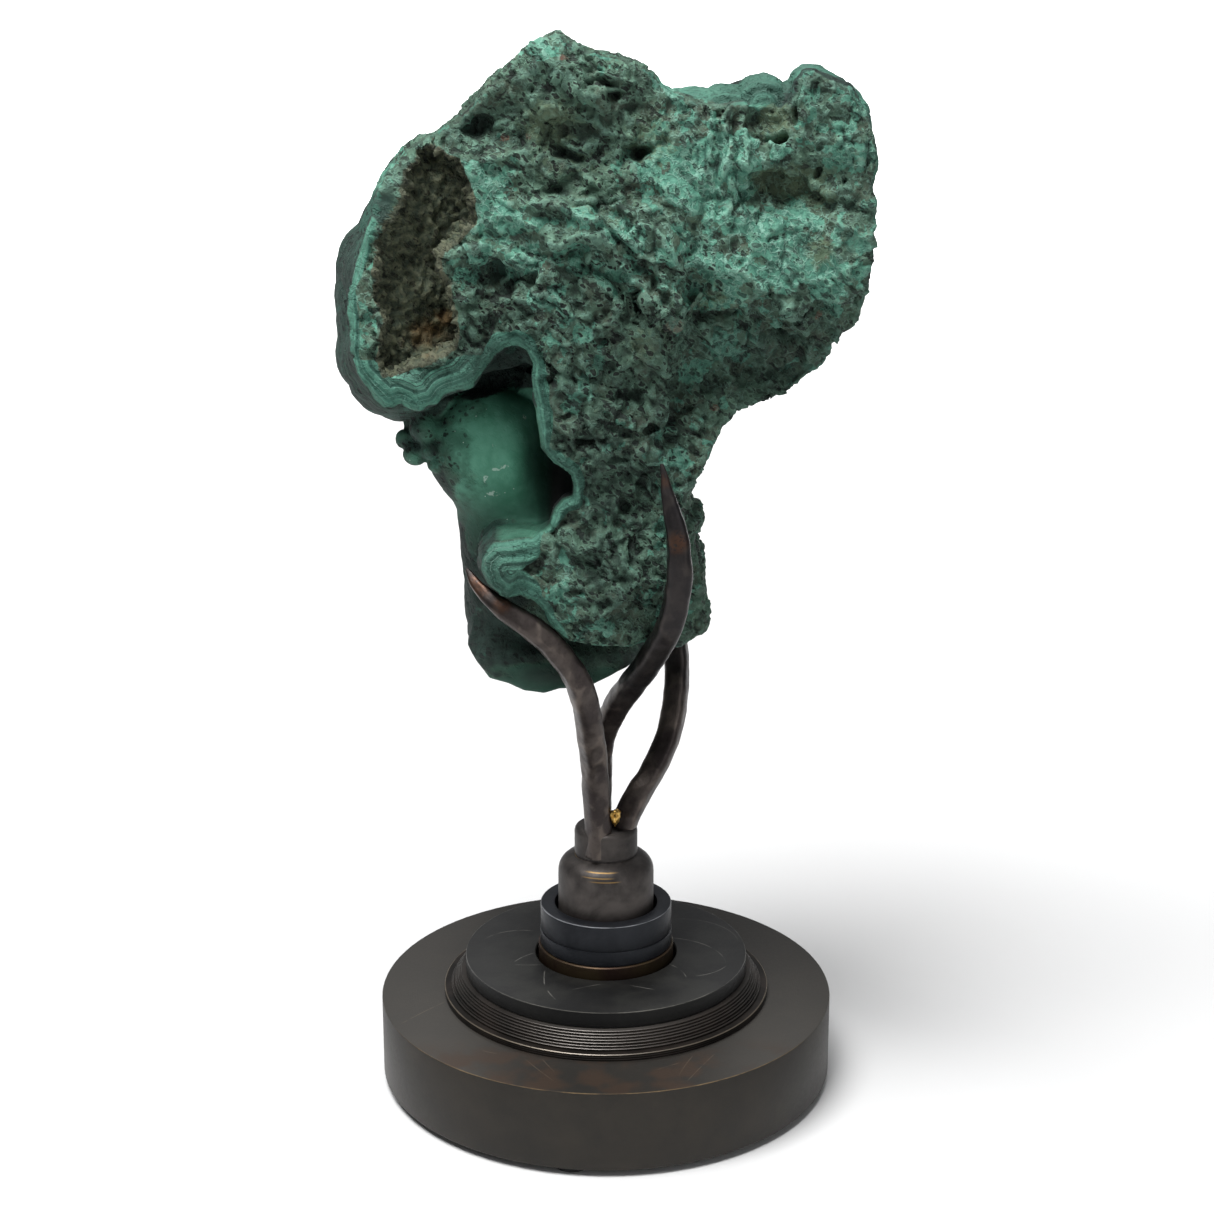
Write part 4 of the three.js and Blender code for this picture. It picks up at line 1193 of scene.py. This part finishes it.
def malachite_material():
    material, n, shader = new_material("malachite")
    t = stone_textures(n)
    colour = n.mix(n.ramp(t.skin, 0.35, 0.65), spongy_colour(n, t), outside_colour(n, t))
    colour = n.mix(n.ramp(t.velvet, 0.3, 0.7), colour, silky_colour(n, t))
    colour = n.mix(n.ramp(t.rind, 0.3, 0.7), colour, banded_colour(n, t))
    colour = n.mix(n.ramp(t.cavity, 0.3, 0.7), colour, crusty_colour(n, t))
    n.feed(shader.inputs["Base Color"], colour)
    shader.inputs["Roughness"].default_value = 0.72
    shader.inputs["IOR"].default_value = 1.4
    grit = n.noise(t.at, 0.45, 3, 0.7)
    rough = n.math("MULTIPLY_ADD", grit, 0.6, t.fine)
    rough = n.math("SUBTRACT", rough, n.math("ADD", t.pore, t.crevice))
    rough = n.math("MULTIPLY_ADD", t.thread, 0.5, rough)
    where_rough = n.math("MULTIPLY_ADD", t.velvet, -0.93, 1)
    n.bump(shader, n.math("MULTIPLY", rough, where_rough), 0.9, 0.5)
    return material


# ---- The stand's turned pieces ------------------------------------------------------------------
# Profiles are radius and height, from the foot up the outside.
SEGMENTS = 144
# The bumpers' distance from the middle, their number, and the first one's angle in degrees.
FOOT_RING, FOOT_COUNT, FIRST_FOOT = 58.3, 4, -99
FOOT_PROFILE = [(4.2, 0), (4.8, 0.15), (5, 0.5), (4.7, 1.5), (4.5, 1.8)]
BASE_PROFILE = [(64.3, 1.8), (64.8, 2.1), (65, 2.6), (65, 24.8), (64.85, 25.1), (64.6, 25.2)]
# The stepped plate: its flange's foot and height, its top, and its steps' number and outer radius.
PLATE_FOOT, PLATE_TOP, FLANGE = (46.9, 25.2), (41.6, 31.9), 2.0
PLATE_STEPS, STEP_TOP = 7, 44.9
STEP_RISE = (PLATE_TOP[1] - PLATE_FOOT[1] - FLANGE) / PLATE_STEPS
DISC_PROFILE = [
    (20.3, 32.2), (20.6, 31.9), (40.3, 31.9), (40.6, 32.2), (40.6, 36.4), (40.5, 36.62), (40.3, 36.7),
    (20.6, 36.7), (20.3, 36.4),
]
COLLAR_FOOT_PROFILE = [(14.7, 31.9), (19.4, 31.9), (19.5, 32.1), (19.5, 39.7), (19.2, 40), (14.7, 40)]
COLLAR_PROFILE = [
    (14.7, 40.4), (15, 40), (18.7, 40), (19, 40.3), (19, 44.2), (18.9, 44.4), (18.6, 44.5), (18.6, 44.75),
    (18.85, 44.85), (18.85, 51.8), (18.75, 52.05), (18.5, 52.2), (15.1, 52.2), (14.8, 52.1), (14.7, 51.8),
]
POST_PROFILE = [
    (12.9, 31.9), (13.5, 32.1), (13.7, 32.6), (13.7, 61.5), (13.62, 62.7), (13.4, 63.7), (13, 64.6),
    (12.4, 65.4), (11.6, 66.1), (10.7, 66.6), (9.7, 67), (9.1, 67.1), (8.75, 67.3), (8.75, 67.6),
    (9, 67.9), (9, 74.2), (8.85, 74.9), (8.5, 75.4), (8, 75.7), (7.3, 75.8),
]
# Gold lines on the front of the post's shoulder: height, and where they start and end in X.
POST_LINES = [(65.8, -5.5, 3), (64.5, -6.5, 2), (63.5, -4.5, 4)]


def turned(name, profile, closed=False):
    """A ring of points drawn up and widened along the profile, as on a lathe."""
    (radius, height) = profile[0]
    bpy.ops.object.select_all(action="DESELECT")
    bpy.ops.mesh.primitive_circle_add(vertices=SEGMENTS, radius=radius * MM, location=(0, 0, height * MM))
    piece = bpy.context.object
    piece.name = name
    bpy.ops.object.mode_set(mode="EDIT")
    bpy.ops.mesh.select_all(action="SELECT")
    for next_radius, next_height in profile[1:] + ([profile[0]] if closed else []):
        rise = (next_height - height) * MM
        bpy.ops.mesh.extrude_edges_move(TRANSFORM_OT_translate={"value": (0, 0, rise)})
        widen = next_radius / radius
        bpy.ops.transform.resize(value=(widen, widen, 1))
        radius, height = next_radius, next_height
    bpy.ops.mesh.select_all(action="SELECT")
    if closed:
        bpy.ops.mesh.remove_doubles(threshold=1e-6)
    else:
        bpy.ops.mesh.fill_holes(sides=0)
        bpy.ops.mesh.select_all(action="SELECT")
    bpy.ops.mesh.normals_make_consistent(inside=False)
    bpy.ops.object.mode_set(mode="OBJECT")
    put_in_place(piece)
    bpy.ops.object.shade_smooth_by_angle(angle=math.radians(35))
    return piece


def plate_profile():
    """The flange, and the steps above it, each with a groove at its foot and a small chamfer."""
    points = [(PLATE_FOOT[0] - 0.2, PLATE_FOOT[1]), (PLATE_FOOT[0], PLATE_FOOT[1] + 0.2)]
    top = PLATE_FOOT[1] + FLANGE
    points += [(PLATE_FOOT[0], top - 0.15), (PLATE_FOOT[0] - 0.15, top)]
    tread = (STEP_TOP - PLATE_TOP[0]) / PLATE_STEPS
    for step in range(PLATE_STEPS):
        radius, height = STEP_TOP - step * tread, top + step * STEP_RISE
        lip = 0.1
        points += [(radius - 0.12, height), (radius - 0.12, height + 0.2), (radius, height + 0.3)]
        points += [(radius, height + STEP_RISE - lip), (radius - lip, height + STEP_RISE)]
    return points


# Each turned piece: name, profile, whether it is a ring, its node, its slot and its material.
TURNED = [
    ("base", BASE_PROFILE, False, "base_disc", "base_bronze", "base"),
    ("grooved_plate", plate_profile(), False, "stepped_plate", "turned_bronze", "plate"),
    ("top_disc", DISC_PROFILE, True, "upper_disc", "blackened_metal", "disc"),
    ("collar_ring", COLLAR_FOOT_PROFILE, True, "collar_foot", "warm_bronze", "ring"),
    ("black_collar", COLLAR_PROFILE, True, "collar", "blackened_metal", "collar"),
    ("centre_post", POST_PROFILE, False, "post", "turned_bronze", "post"),
]


def make_turned_pieces(materials):
    for name, profile, closed, node, slot, material in TURNED:
        finish(turned(name, profile, closed), name, node, materials[material])
    bumper = turned("bumper", FOOT_PROFILE)
    for number in range(FOOT_COUNT):
        foot = bumper if number == FOOT_COUNT - 1 else bumper.copy()
        if foot is not bumper:
            foot.data = bumper.data.copy()
            bpy.context.collection.objects.link(foot)
        angle = math.radians(FIRST_FOOT + 360 * number / FOOT_COUNT)
        foot.location = (FOOT_RING * MM * math.cos(angle), FOOT_RING * MM * math.sin(angle), 0)
        put_in_place(foot)
        finish(foot, f"bumper_{number + 1}", f"foot_{number + 1}", materials["rubber"])


# ---- The forged prongs --------------------------------------------------------------------------
# Axis points in millimetres from the boss to the tip.
PRONGS = {
    "prong_left": [
        (-2.6, -5.6, 68.5), (-2.2, -5.4, 76.7), (-2.9, -7.2, 89.6), (-3.4, -9.8, 98), (-4.2, -14, 108),
        (-5.4, -18.5, 117.5), (-8.2, -22.6, 128), (-14.5, -25.4, 137.8), (-20.3, -26.6, 143.4),
        (-27, -26, 148), (-34, -22.8, 153.2), (-37.3, -19.5, 157.4),
    ],
    "prong_tall": [
        (-1.7, 4.6, 70), (-1.7, 4.6, 77), (-1.7, 3, 91), (-0.9, -1.6, 103), (3.5, -9.5, 116),
        (8.6, -17.5, 126), (13.2, -26, 136), (17.2, -33.5, 147), (19.2, -36, 160), (18.6, -36, 171),
        (16.4, -34.6, 180), (14.4, -32.6, 189.5),
    ],
    "prong_right": [
        (4.7, -0.5, 70), (5, -0.5, 75.5), (9.4, 1.4, 85), (14.2, 5, 92), (18.2, 9.8, 100.5),
        (20.1, 14.2, 110.5), (20.4, 18.4, 119), (19, 21.8, 129), (17, 23.2, 140), (15.4, 23.6, 147),
    ],
}
# The share of each prong's length where its taper starts, and the share of its width left at the tip.
TAPER_FROM = {"prong_left": 0.74, "prong_tall": 0.76, "prong_right": 0.68}
TIP_SHARE = 0.14
# The rod's half width, how square its section is (2 is round), its sides, and its rings' distance.
ROD_RADIUS, ROD_SQUARENESS, ROD_SIDES, ROD_PACE = 3.5, 3.3, 40, 0.8
# The hammer's marks: their width and depth.
MARK_WIDTH, MARK_DEPTH = 4.2, 0.44
# The gold nugget of braze: its middle and half its width, depth and height.
BRAZE_AT, BRAZE_SIZE = (2.6, -6.6, 80.6), (1.4, 1.1, 2.4)


def smooth_path(points, pace):
    """Points every so many millimetres along a smooth line through the given ones."""
    knots = [Vector(p) for p in points]
    knots = [2 * knots[0] - knots[1]] + knots + [2 * knots[-1] - knots[-2]]
    path = []
    for a, b, c, d in zip(knots, knots[1:], knots[2:], knots[3:]):
        t1 = (b - a).length ** 0.5
        t2 = t1 + (c - b).length ** 0.5
        t3 = t2 + (d - c).length ** 0.5
        count = max(2, round((c - b).length / pace))
        for step in range(count):
            t = t1 + (t2 - t1) * step / count
            ab = a.lerp(b, t / t1)
            bc = b.lerp(c, (t - t1) / (t2 - t1))
            cd = c.lerp(d, (t - t2) / (t3 - t2))
            path.append(ab.lerp(bc, t / t2).lerp(bc.lerp(cd, (t - t1) / (t3 - t1)), (t - t1) / (t2 - t1)))
    return path + [knots[-2]]


def rod_section():
    """A square with well-rounded corners."""
    curve = bpy.data.curves.new("rod_section", "CURVE")
    spline = curve.splines.new("POLY")
    spline.points.add(ROD_SIDES - 1)
    spline.use_cyclic_u = True
    for number, point in enumerate(spline.points):
        angle = 2 * math.pi * (number + 0.5) / ROD_SIDES
        c, s = math.cos(angle), math.sin(angle)
        reach = (abs(c) ** ROD_SQUARENESS + abs(s) ** ROD_SQUARENESS) ** (-1 / ROD_SQUARENESS)
        point.co = (ROD_RADIUS * MM * reach * c, ROD_RADIUS * MM * reach * s, 0, 1)
    section = bpy.data.objects.new("rod_section", curve)
    bpy.context.collection.objects.link(section)
    return section


def forged_prong(name, points, section, seed):
    """The section swept along the points, tapered to a tip and hammered."""
    curve = bpy.data.curves.new(name, "CURVE")
    curve.dimensions = "3D"
    curve.bevel_mode = "OBJECT"
    curve.bevel_object = section
    curve.use_fill_caps = True
    path = smooth_path(points, ROD_PACE)
    spline = curve.splines.new("POLY")
    spline.points.add(len(path) - 1)
    start = TAPER_FROM[name]
    for number, (point, place) in enumerate(zip(spline.points, path)):
        share = number / (len(path) - 1)
        point.co = (*(place * MM), 1)
        taper = max(0.0, (share - start) / (1 - start))
        point.radius = TIP_SHARE + (1 - TIP_SHARE) * (1 - taper**1.6) ** 0.8
    rod = bpy.data.objects.new(name, curve)
    bpy.context.collection.objects.link(rod)
    select_only(rod)
    bpy.ops.object.convert(target="MESH")
    rod = bpy.context.object
    edit_whole_mesh(
        (bpy.ops.mesh.remove_doubles, {"threshold": 1e-6}),
        (bpy.ops.mesh.normals_make_consistent, {"inside": False}),
    )
    hammer(rod, seed)
    select_only(rod)
    bpy.ops.object.shade_smooth_by_angle(angle=math.radians(50))
    return rod


def hammer(rod, seed):
    """Shallow flats all over, as the hammer leaves them."""
    p = vertices_of(rod)
    normal = np.empty(3 * len(p), np.float32)
    rod.data.vertices.foreach_get("normal", normal)
    near, _, tag = grains(p * np.array((1, 1, 0.8)), MARK_WIDTH, seed)
    depth = MARK_DEPTH * (0.75 - near) * (0.4 + tag) + 0.1 * swell(p, 9, seed + 9)
    move_vertices(rod, p - depth[:, None] * normal.reshape(-1, 3))
    write_colours(rod, "marks_and_painted_light", near)


def make_prongs(material):
    section = rod_section()
    for seed, (name, points) in enumerate(PRONGS.items()):
        rod = forged_prong(name, points, section, 200 + 20 * seed)
        finish(rod, name.replace("prong", "forged_prong"), name, material)
    bpy.data.objects.remove(section)


def make_braze(material):
    """A rough nugget, wider at its top, where the prongs meet."""
    bpy.ops.mesh.primitive_ico_sphere_add(subdivisions=4, radius=1 * MM)
    nugget = bpy.context.object
    p = vertices_of(nugget)
    p *= 1 + 0.5 * crags(p, 0.9, 2, 300, sharp=0.6)[:, None]
    taper = np.interp(p[:, 2], (-1, 1), (0.5, 1.3))
    wide, deep, high = BRAZE_SIZE
    p = p * np.stack([wide * taper, deep * taper, np.full(len(p), high)], axis=1) + np.array(BRAZE_AT)
    move_vertices(nugget, p)
    select_only(nugget)
    bpy.ops.object.shade_smooth()
    finish(nugget, "braze", None, material)


# ---- The stand's materials ----------------------------------------------------------------------
def make_group(name, inputs, outputs):
    """An empty node group with the named value inputs and outputs."""
    tree = bpy.data.node_groups.new(name, "ShaderNodeTree")
    for label in inputs:
        tree.interface.new_socket(label, in_out="INPUT", socket_type="NodeSocketFloat")
    for label in outputs:
        tree.interface.new_socket(label, in_out="OUTPUT", socket_type="NodeSocketFloat")
    n = Nodes(tree)
    return tree, n, n.add("NodeGroupInput"), n.add("NodeGroupOutput")


def turned_metal_group():
    """Cloudy patina, fine specks, the lathe's fine rings, and a paler line along an edge: partly rubbed
    wear, partly a painted highlight.
    """
    tree, n, given, result = make_group(
        "turned_metal", ["Radius", "Height", "Width"], ["Cloud", "Speck", "Rings", "Worn_and_lit"]
    )
    at = n.place()
    n.feed(result.inputs["Cloud"], n.noise(at, 16, 5, 0.6, 0.3))
    n.feed(result.inputs["Speck"], n.noise(at, 1.2, 4, 0.7))
    radius = n.length(n.scaled(at, (1, 1, 0)))
    height = n.height()
    n.feed(result.inputs["Rings"], n.line_noise(n.math("ADD", radius, height), 3.2, 3))
    across = n.math("POWER", n.math("SUBTRACT", radius, given.outputs["Radius"]), 2)
    along = n.math("POWER", n.math("SUBTRACT", height, given.outputs["Height"]), 2)
    distance = n.math("SQRT", n.math("ADD", across, along))
    worn_and_lit_width = n.math("MULTIPLY", given.outputs["Width"], n.math("MULTIPLY_ADD", n.noise(at, 9, 3), 1.4, 0.3))
    n.feed(result.inputs["Worn_and_lit"], n.math("SUBTRACT", 1, n.math("DIVIDE", distance, worn_and_lit_width), clamp=True))
    return tree


# Fine scribed lines on the tops of the disc and the base: X and Y in millimetres.
DISC_SCRIBES = [
    [(-17.4, -13.6), (-17.5, -18.5), (-17.2, -24)], [(-16.4, -26.4), (-15.3, -29.5), (-13.8, -32.6)],
    [(-26.5, -8.7), (-23.5, -4.5), (-20.3, -2)], [(-26.5, -10), (-21.5, -10.3), (-17.9, -10)],
    [(17.9, -9.5), (21.2, -13.6), (22.8, -18.8)], [(16.9, 8.2), (28, 4), (34.4, -10.3)],
    [(24.8, -17.6), (30.5, -15.2), (34.7, -10.3)], [(-35.9, 6.5), (-28, 12.8), (-20.7, 12.6)],
    [(20.2, 21.4), (32, 18), (38.7, 4.8)], [(-9.8, -26.4), (-4.3, -23.8), (1.4, -21.7)],
    [(1.4, -21.7), (7.6, -23.8), (14, -26.4)],
]
BASE_SCRIBES = [
    [(-22.6, -44.5), (-18.2, -51.7), (-13.4, -58.7)], [(-17.8, -44.5), (-15.2, -50.2), (-12.1, -55.9)],
    [(-34.5, -40.1), (-32.1, -41.4), (-29.5, -42.3)], [(30.3, -41.6), (25.7, -50.2), (21.5, -58.7)],
    [(24.1, -43), (21.6, -49), (19.6, -55.2)], [(-58.4, -25.1), (-52, -17), (-45.3, -9.4)],
    [(13.6, -51.7), (17, -49.4), (20.5, -47.4)],
]


SCRIBE_WIDTH = 0.22


def scribes_group(name, lines, top):
    """A mask of fine arcs on a flat top, each through its first, middle and last point."""
    tree, n, _, result = make_group(name, [], ["Scribe"])
    at = n.place()
    total = 0.0

    def along(vector, line):
        node = n.add("ShaderNodeVectorMath", operation="DOT_PRODUCT")
        n.feed(node.inputs[0], vector)
        node.inputs[1].default_value = (*line, 0)
        return node.outputs["Value"]

    for a, b, c in (map(Vector, line) for line in lines):
        ab, ac = b - a, c - a
        twice = 2 * (ab.x * ac.y - ab.y * ac.x)
        centre = a + Vector((ac.y * ab.length_squared - ab.y * ac.length_squared,
                             ab.x * ac.length_squared - ac.x * ab.length_squared)) / twice
        flat = n.scaled(at, (1, 1, 0), (-centre.x, -centre.y, 0))
        off = n.off(n.length(flat), (a - centre).length)
        middle = (a + c) / 2 - centre
        chord = ac.normalized()
        side = n.ramp(along(flat, middle.normalized()), 0, 0.1)
        run = n.off(along(flat, chord), middle.dot(chord))
        inside = n.math("MULTIPLY", side, n.ramp(run, ac.length / 2, 0.3 * ac.length))
        line = n.ramp(off, SCRIBE_WIDTH, 0.3 * SCRIBE_WIDTH)
        total = n.math("MAXIMUM", total, n.math("MULTIPLY", line, inside))
    on_top = n.ramp(n.height(), top - 0.2, top - 0.05)
    worn = n.math("MULTIPLY", n.ramp(n.noise(at, 5, 3), 0.3, 0.6), on_top)
    n.feed(result.inputs["Scribe"], n.math("MULTIPLY", total, worn))
    return tree


def patinated(name, group, dark, light, worn_and_lit_colour, edge, rough, metallic, cloud=(0.35, 0.65), scribes=None,
              scribed=(0, 0, 0, 1), worn_and_lit_back=1.0):
    """A patinated turned piece. Its edge, given by radius, height and width, is painted paler: partly
    rubbed wear, partly a painted highlight.
    """
    material, n, shader = new_material(name)
    metal = n.group(group)
    for label, value in zip(("Radius", "Height", "Width"), edge):
        metal.inputs[label].default_value = value
    colour = n.mix(n.ramp(metal.outputs["Cloud"], *cloud), dark, light)
    colour = n.tint(colour, light, n.ramp(metal.outputs["Speck"], 0.55, 0.8), 0.5)
    # The paler edge can fade towards the back, showing at the front as a painted highlight.
    front = n.math("MULTIPLY_ADD", n.ramp(n.height("Y"), -25, -60), 1 - worn_and_lit_back, worn_and_lit_back)
    colour = n.tint(colour, worn_and_lit_colour, n.ramp(metal.outputs["Worn_and_lit"], 0.1, 0.7), front)
    if scribes:
        lines = n.group(scribes_group(name + "_scribes", scribes, edge[1]))
        colour = n.tint(colour, scribed, lines.outputs["Scribe"], 0.45)
    n.feed(shader.inputs["Base Color"], colour)
    n.feed(shader.inputs["Roughness"], n.math("MULTIPLY_ADD", metal.outputs["Speck"], 0.16, rough - 0.08))
    shader.inputs["Metallic"].default_value = metallic
    shader.inputs["Specular IOR Level"].default_value = 0.3
    n.bump(shader, metal.outputs["Rings"], 0.25, 0.06)
    return material, n, shader, colour


def base_material(group):
    """Olive-brown, its top paler at the sides as a painted reflection and darker at the middle, with
    brown patches at the front.
    """
    material, n, shader, colour = patinated(
        "olive_patina", group, srgb(45, 43, 40), srgb(54, 50, 45), srgb(146, 122, 88), (65, 25.2, 0.34),
        0.48, 0.5, cloud=(0.25, 0.8), scribes=BASE_SCRIBES, scribed=srgb(126, 112, 94), worn_and_lit_back=0.1,
    )
    # Painted reflection: the top is paler towards its left and right sides, and darker at its middle.
    top = n.ramp(n.height(), 25.0, 25.15)
    aside = n.off(n.height("X"))
    colour = n.tint(colour, srgb(80, 78, 75), n.math("MULTIPLY", top, n.ramp(aside, 14, 56)), 0.5)
    colour = n.tint(colour, srgb(26, 24, 22), n.math("MULTIPLY", top, n.ramp(aside, 44, 14)), 0.5)
    stained = n.ramp(n.noise(n.place(), 13, 3), 0.44, 0.6)
    brown = n.math("MULTIPLY", stained, n.ramp(n.height("Y"), -32, -48))
    colour = n.tint(colour, srgb(64, 47, 35), n.math("MULTIPLY", top, brown), 0.5)
    n.feed(shader.inputs["Base Color"], colour)
    return material


def plate_material(group):
    """Dark, with a paler lip on each step, a painted highlight that shows most at the middle."""
    material, n, shader, colour = patinated(
        "grooved_patina", group, srgb(34, 32, 30), srgb(56, 50, 46), srgb(120, 110, 96),
        (PLATE_FOOT[0], PLATE_FOOT[1] + FLANGE, 0.4), 0.4, 0.75,
    )
    above_flange = n.math("SUBTRACT", n.height(), PLATE_FOOT[1] + FLANGE)
    step = n.math("FRACT", n.math("DIVIDE", above_flange, STEP_RISE))
    # Painted highlight on the steps' lips, strongest at the middle.
    middle = n.math("MULTIPLY_ADD", n.ramp(n.off(n.height("X")), 34, 4), 0.5, 0.2)
    lip = n.math("MULTIPLY", n.ramp(step, 0.6, 0.9), middle)
    n.feed(shader.inputs["Base Color"], n.mix(lip, colour, srgb(108, 104, 100)))
    return material


def disc_material(group):
    """Black, with a faint painted sheen at the left and right, and a darker side."""
    material, n, shader, colour = patinated(
        "black_patina", group, srgb(27, 27, 27), srgb(42, 42, 40), srgb(110, 108, 102),
        (40.6, 36.7, 0.26), 0.42, 0.5, scribes=DISC_SCRIBES, scribed=srgb(140, 138, 132),
    )
    # Painted sheen towards the left and right.
    colour = n.tint(colour, srgb(66, 66, 66), n.ramp(n.off(n.height("X")), 16, 38), 0.4)
    colour = n.tint(colour, srgb(10, 10, 10), n.ramp(n.height(), 36.5, 36.2), 0.7)
    n.feed(shader.inputs["Base Color"], colour)
    return material


def post_material(group):
    """Gunmetal brown, with a darker boss and gold lines on the front of its shoulder."""
    material, n, shader, colour = patinated(
        "gunmetal_brown", group, srgb(52, 49, 48), srgb(88, 83, 80), srgb(160, 134, 88), (9, 67.3, 0.16),
        0.5, 0.7,
    )
    x, height = n.height("X"), n.height()
    front = n.ramp(n.height("Y"), 0, -1)
    gold = 0.0
    for level, left, right in POST_LINES:
        line = n.ramp(n.off(height, level), 0.22, 0.08)
        along = n.math("MULTIPLY", n.ramp(x, left - 1, left + 2), n.ramp(x, right + 1, right - 2))
        gold = n.math("MAXIMUM", gold, n.math("MULTIPLY", line, n.math("MULTIPLY", along, front)))
    colour = n.tint(colour, srgb(44, 42, 41), n.ramp(height, 67, 68), 0.35)
    n.feed(shader.inputs["Base Color"], n.tint(colour, srgb(180, 142, 80), gold, 0.45))
    return material


def plain_material(name, colour, roughness):
    material, _, shader = new_material(name)
    shader.inputs["Base Color"].default_value = colour
    shader.inputs["Roughness"].default_value = roughness
    return material


def stand_materials():
    group = turned_metal_group()
    return {
        "base": base_material(group),
        "plate": plate_material(group),
        "disc": disc_material(group),
        "ring": patinated(
            "brown_gold", group, srgb(46, 32, 28), srgb(62, 52, 36), srgb(92, 72, 50), (19.5, 40, 0.3),
            0.5, 0.7,
        )[0],
        "collar": patinated(
            "blue_black", group, srgb(28, 30, 34), srgb(42, 44, 48), srgb(150, 152, 156),
            (18.85, 52.2, 0.35), 0.4, 0.6,
        )[0],
        "post": post_material(group),
        "rubber": plain_material("rubber", srgb(30, 30, 30), 0.85),
    }


# Painted shade: the dark patch round the left prong's tip.
LEFT_TIP = (-34, -23, 153.5)
# Warm painted highlights on the forged bronze near the prongs' tips: place, reach.
WARM_HIGHLIGHTS = [
    ((-34, -24, 154), 5), ((-27.5, -28, 150), 3.4), ((18.4, -39.5, 170), 4), ((15.5, -36, 186), 3),
]


def prong_material():
    material, n, shader = new_material("forged_bronze")
    at = n.place()
    near, _, _ = n.painted("marks_and_painted_light")
    cloud = n.noise(at, 7, 4, 0.6)
    speck = n.noise(at, 1.0, 4, 0.7)
    colour = n.mix(n.ramp(cloud, 0.35, 0.65), srgb(54, 48, 47), srgb(78, 71, 67))
    # Painted highlight: paler on the ridges between the hammer's marks.
    colour = n.tint(colour, srgb(116, 106, 98), n.ramp(near, 0.6, 0.82), 0.45)
    colour = n.tint(colour, srgb(36, 32, 34), n.ramp(speck, 0.55, 0.75), 0.4)
    shaded = n.math("MULTIPLY", n.ramp(n.height(), 105, 125), n.ramp(n.height("X"), 0, 6))
    colour = n.tint(colour, srgb(28, 28, 31), shaded, 0.72)
    # Painted shade round the left prong's tip.
    colour = n.tint(colour, srgb(32, 28, 28), n.near(at, LEFT_TIP, 16, 6), 0.6)
    # Warm painted highlights.
    for spot, reach in WARM_HIGHLIGHTS:
        warm_highlight = n.math("MULTIPLY", n.near(at, spot, reach, 0.3 * reach), n.ramp(speck, 0.35, 0.5))
        colour = n.tint(colour, srgb(78, 54, 40), warm_highlight, 0.7)
    n.feed(shader.inputs["Base Color"], colour)
    shader.inputs["Metallic"].default_value = 0.8
    n.feed(shader.inputs["Roughness"], n.math("MULTIPLY_ADD", speck, 0.3, 0.24))
    n.bump(shader, n.math("ADD", speck, cloud), 0.4, 0.2)
    return material


def braze_material():
    material, n, shader = new_material("braze_gold")
    speck = n.noise(n.place(), 0.8, 3, 0.6)
    colour = n.mix(n.ramp(speck, 0.4, 0.6), srgb(150, 112, 52), srgb(214, 178, 104))
    n.feed(shader.inputs["Base Color"], colour)
    shader.inputs["Metallic"].default_value = 1
    shader.inputs["Roughness"].default_value = 0.3
    return material


# ---- Camera, floor and light --------------------------------------------------------------------
# The camera's place, its tilt up from straight down in degrees, and its lens.
CAMERA_PLACE, CAMERA_TILT, CAMERA_LENS = (0.3, -640.7, 337.2), 72.95, 71.57
# The lights, placed in metres: name, place, target, size, power, spread in degrees.
LIGHTS = [
    ("key", (-0.3, -0.36, 1.4), (0, 0, 0.16), 0.7, 36, 180),
    ("fill", (0.7, -1.1, 0.6), (0, 0, 0.16), 0.8, 2.5, 180),
    ("backdrop", (0, 2.4, 2.4), (0, 2.8, 0), 2.5, 150, 100),
    ("far_backdrop", (0, 7, 3.5), (0, 8, 0), 5, 420, 120),
]


def place_camera(scene):
    place = [v * MM for v in CAMERA_PLACE]
    bpy.ops.object.camera_add(location=place, rotation=(math.radians(CAMERA_TILT), 0, 0))
    scene.camera = bpy.context.object
    scene.camera.data.lens = CAMERA_LENS
    scene.camera.data.clip_start = 0.01


def make_floor():
    bpy.ops.mesh.primitive_plane_add(size=40, location=(0, 15, 0))
    floor = bpy.context.object
    floor.name = "floor"
    floor.data.materials.append(plain_material("paper", (0.6, 0.6, 0.6, 1), 0.9))


def light_the_scene(scene):
    world = bpy.data.worlds.new("studio")
    scene.world = world
    world.use_nodes = True
    background = world.node_tree.nodes["Background"]
    background.inputs["Color"].default_value = (0.95, 0.97, 1, 1)
    background.inputs["Strength"].default_value = 0.2
    for name, place, target, size, power, spread in LIGHTS:
        bpy.ops.object.light_add(type="AREA", location=place)
        light = bpy.context.object
        light.name = name
        light.data.size = size
        light.data.energy = power
        light.data.spread = math.radians(spread)
        light.rotation_euler = (Vector(target) - Vector(place)).to_track_quat("-Z", "Y").to_euler()
    scene.view_settings.view_transform = "Standard"


place_camera(bpy.context.scene)
make_floor()
light_the_scene(bpy.context.scene)
make_turned_pieces(stand_materials())
make_prongs(prong_material())
make_braze(braze_material())
make_stone(malachite_material())
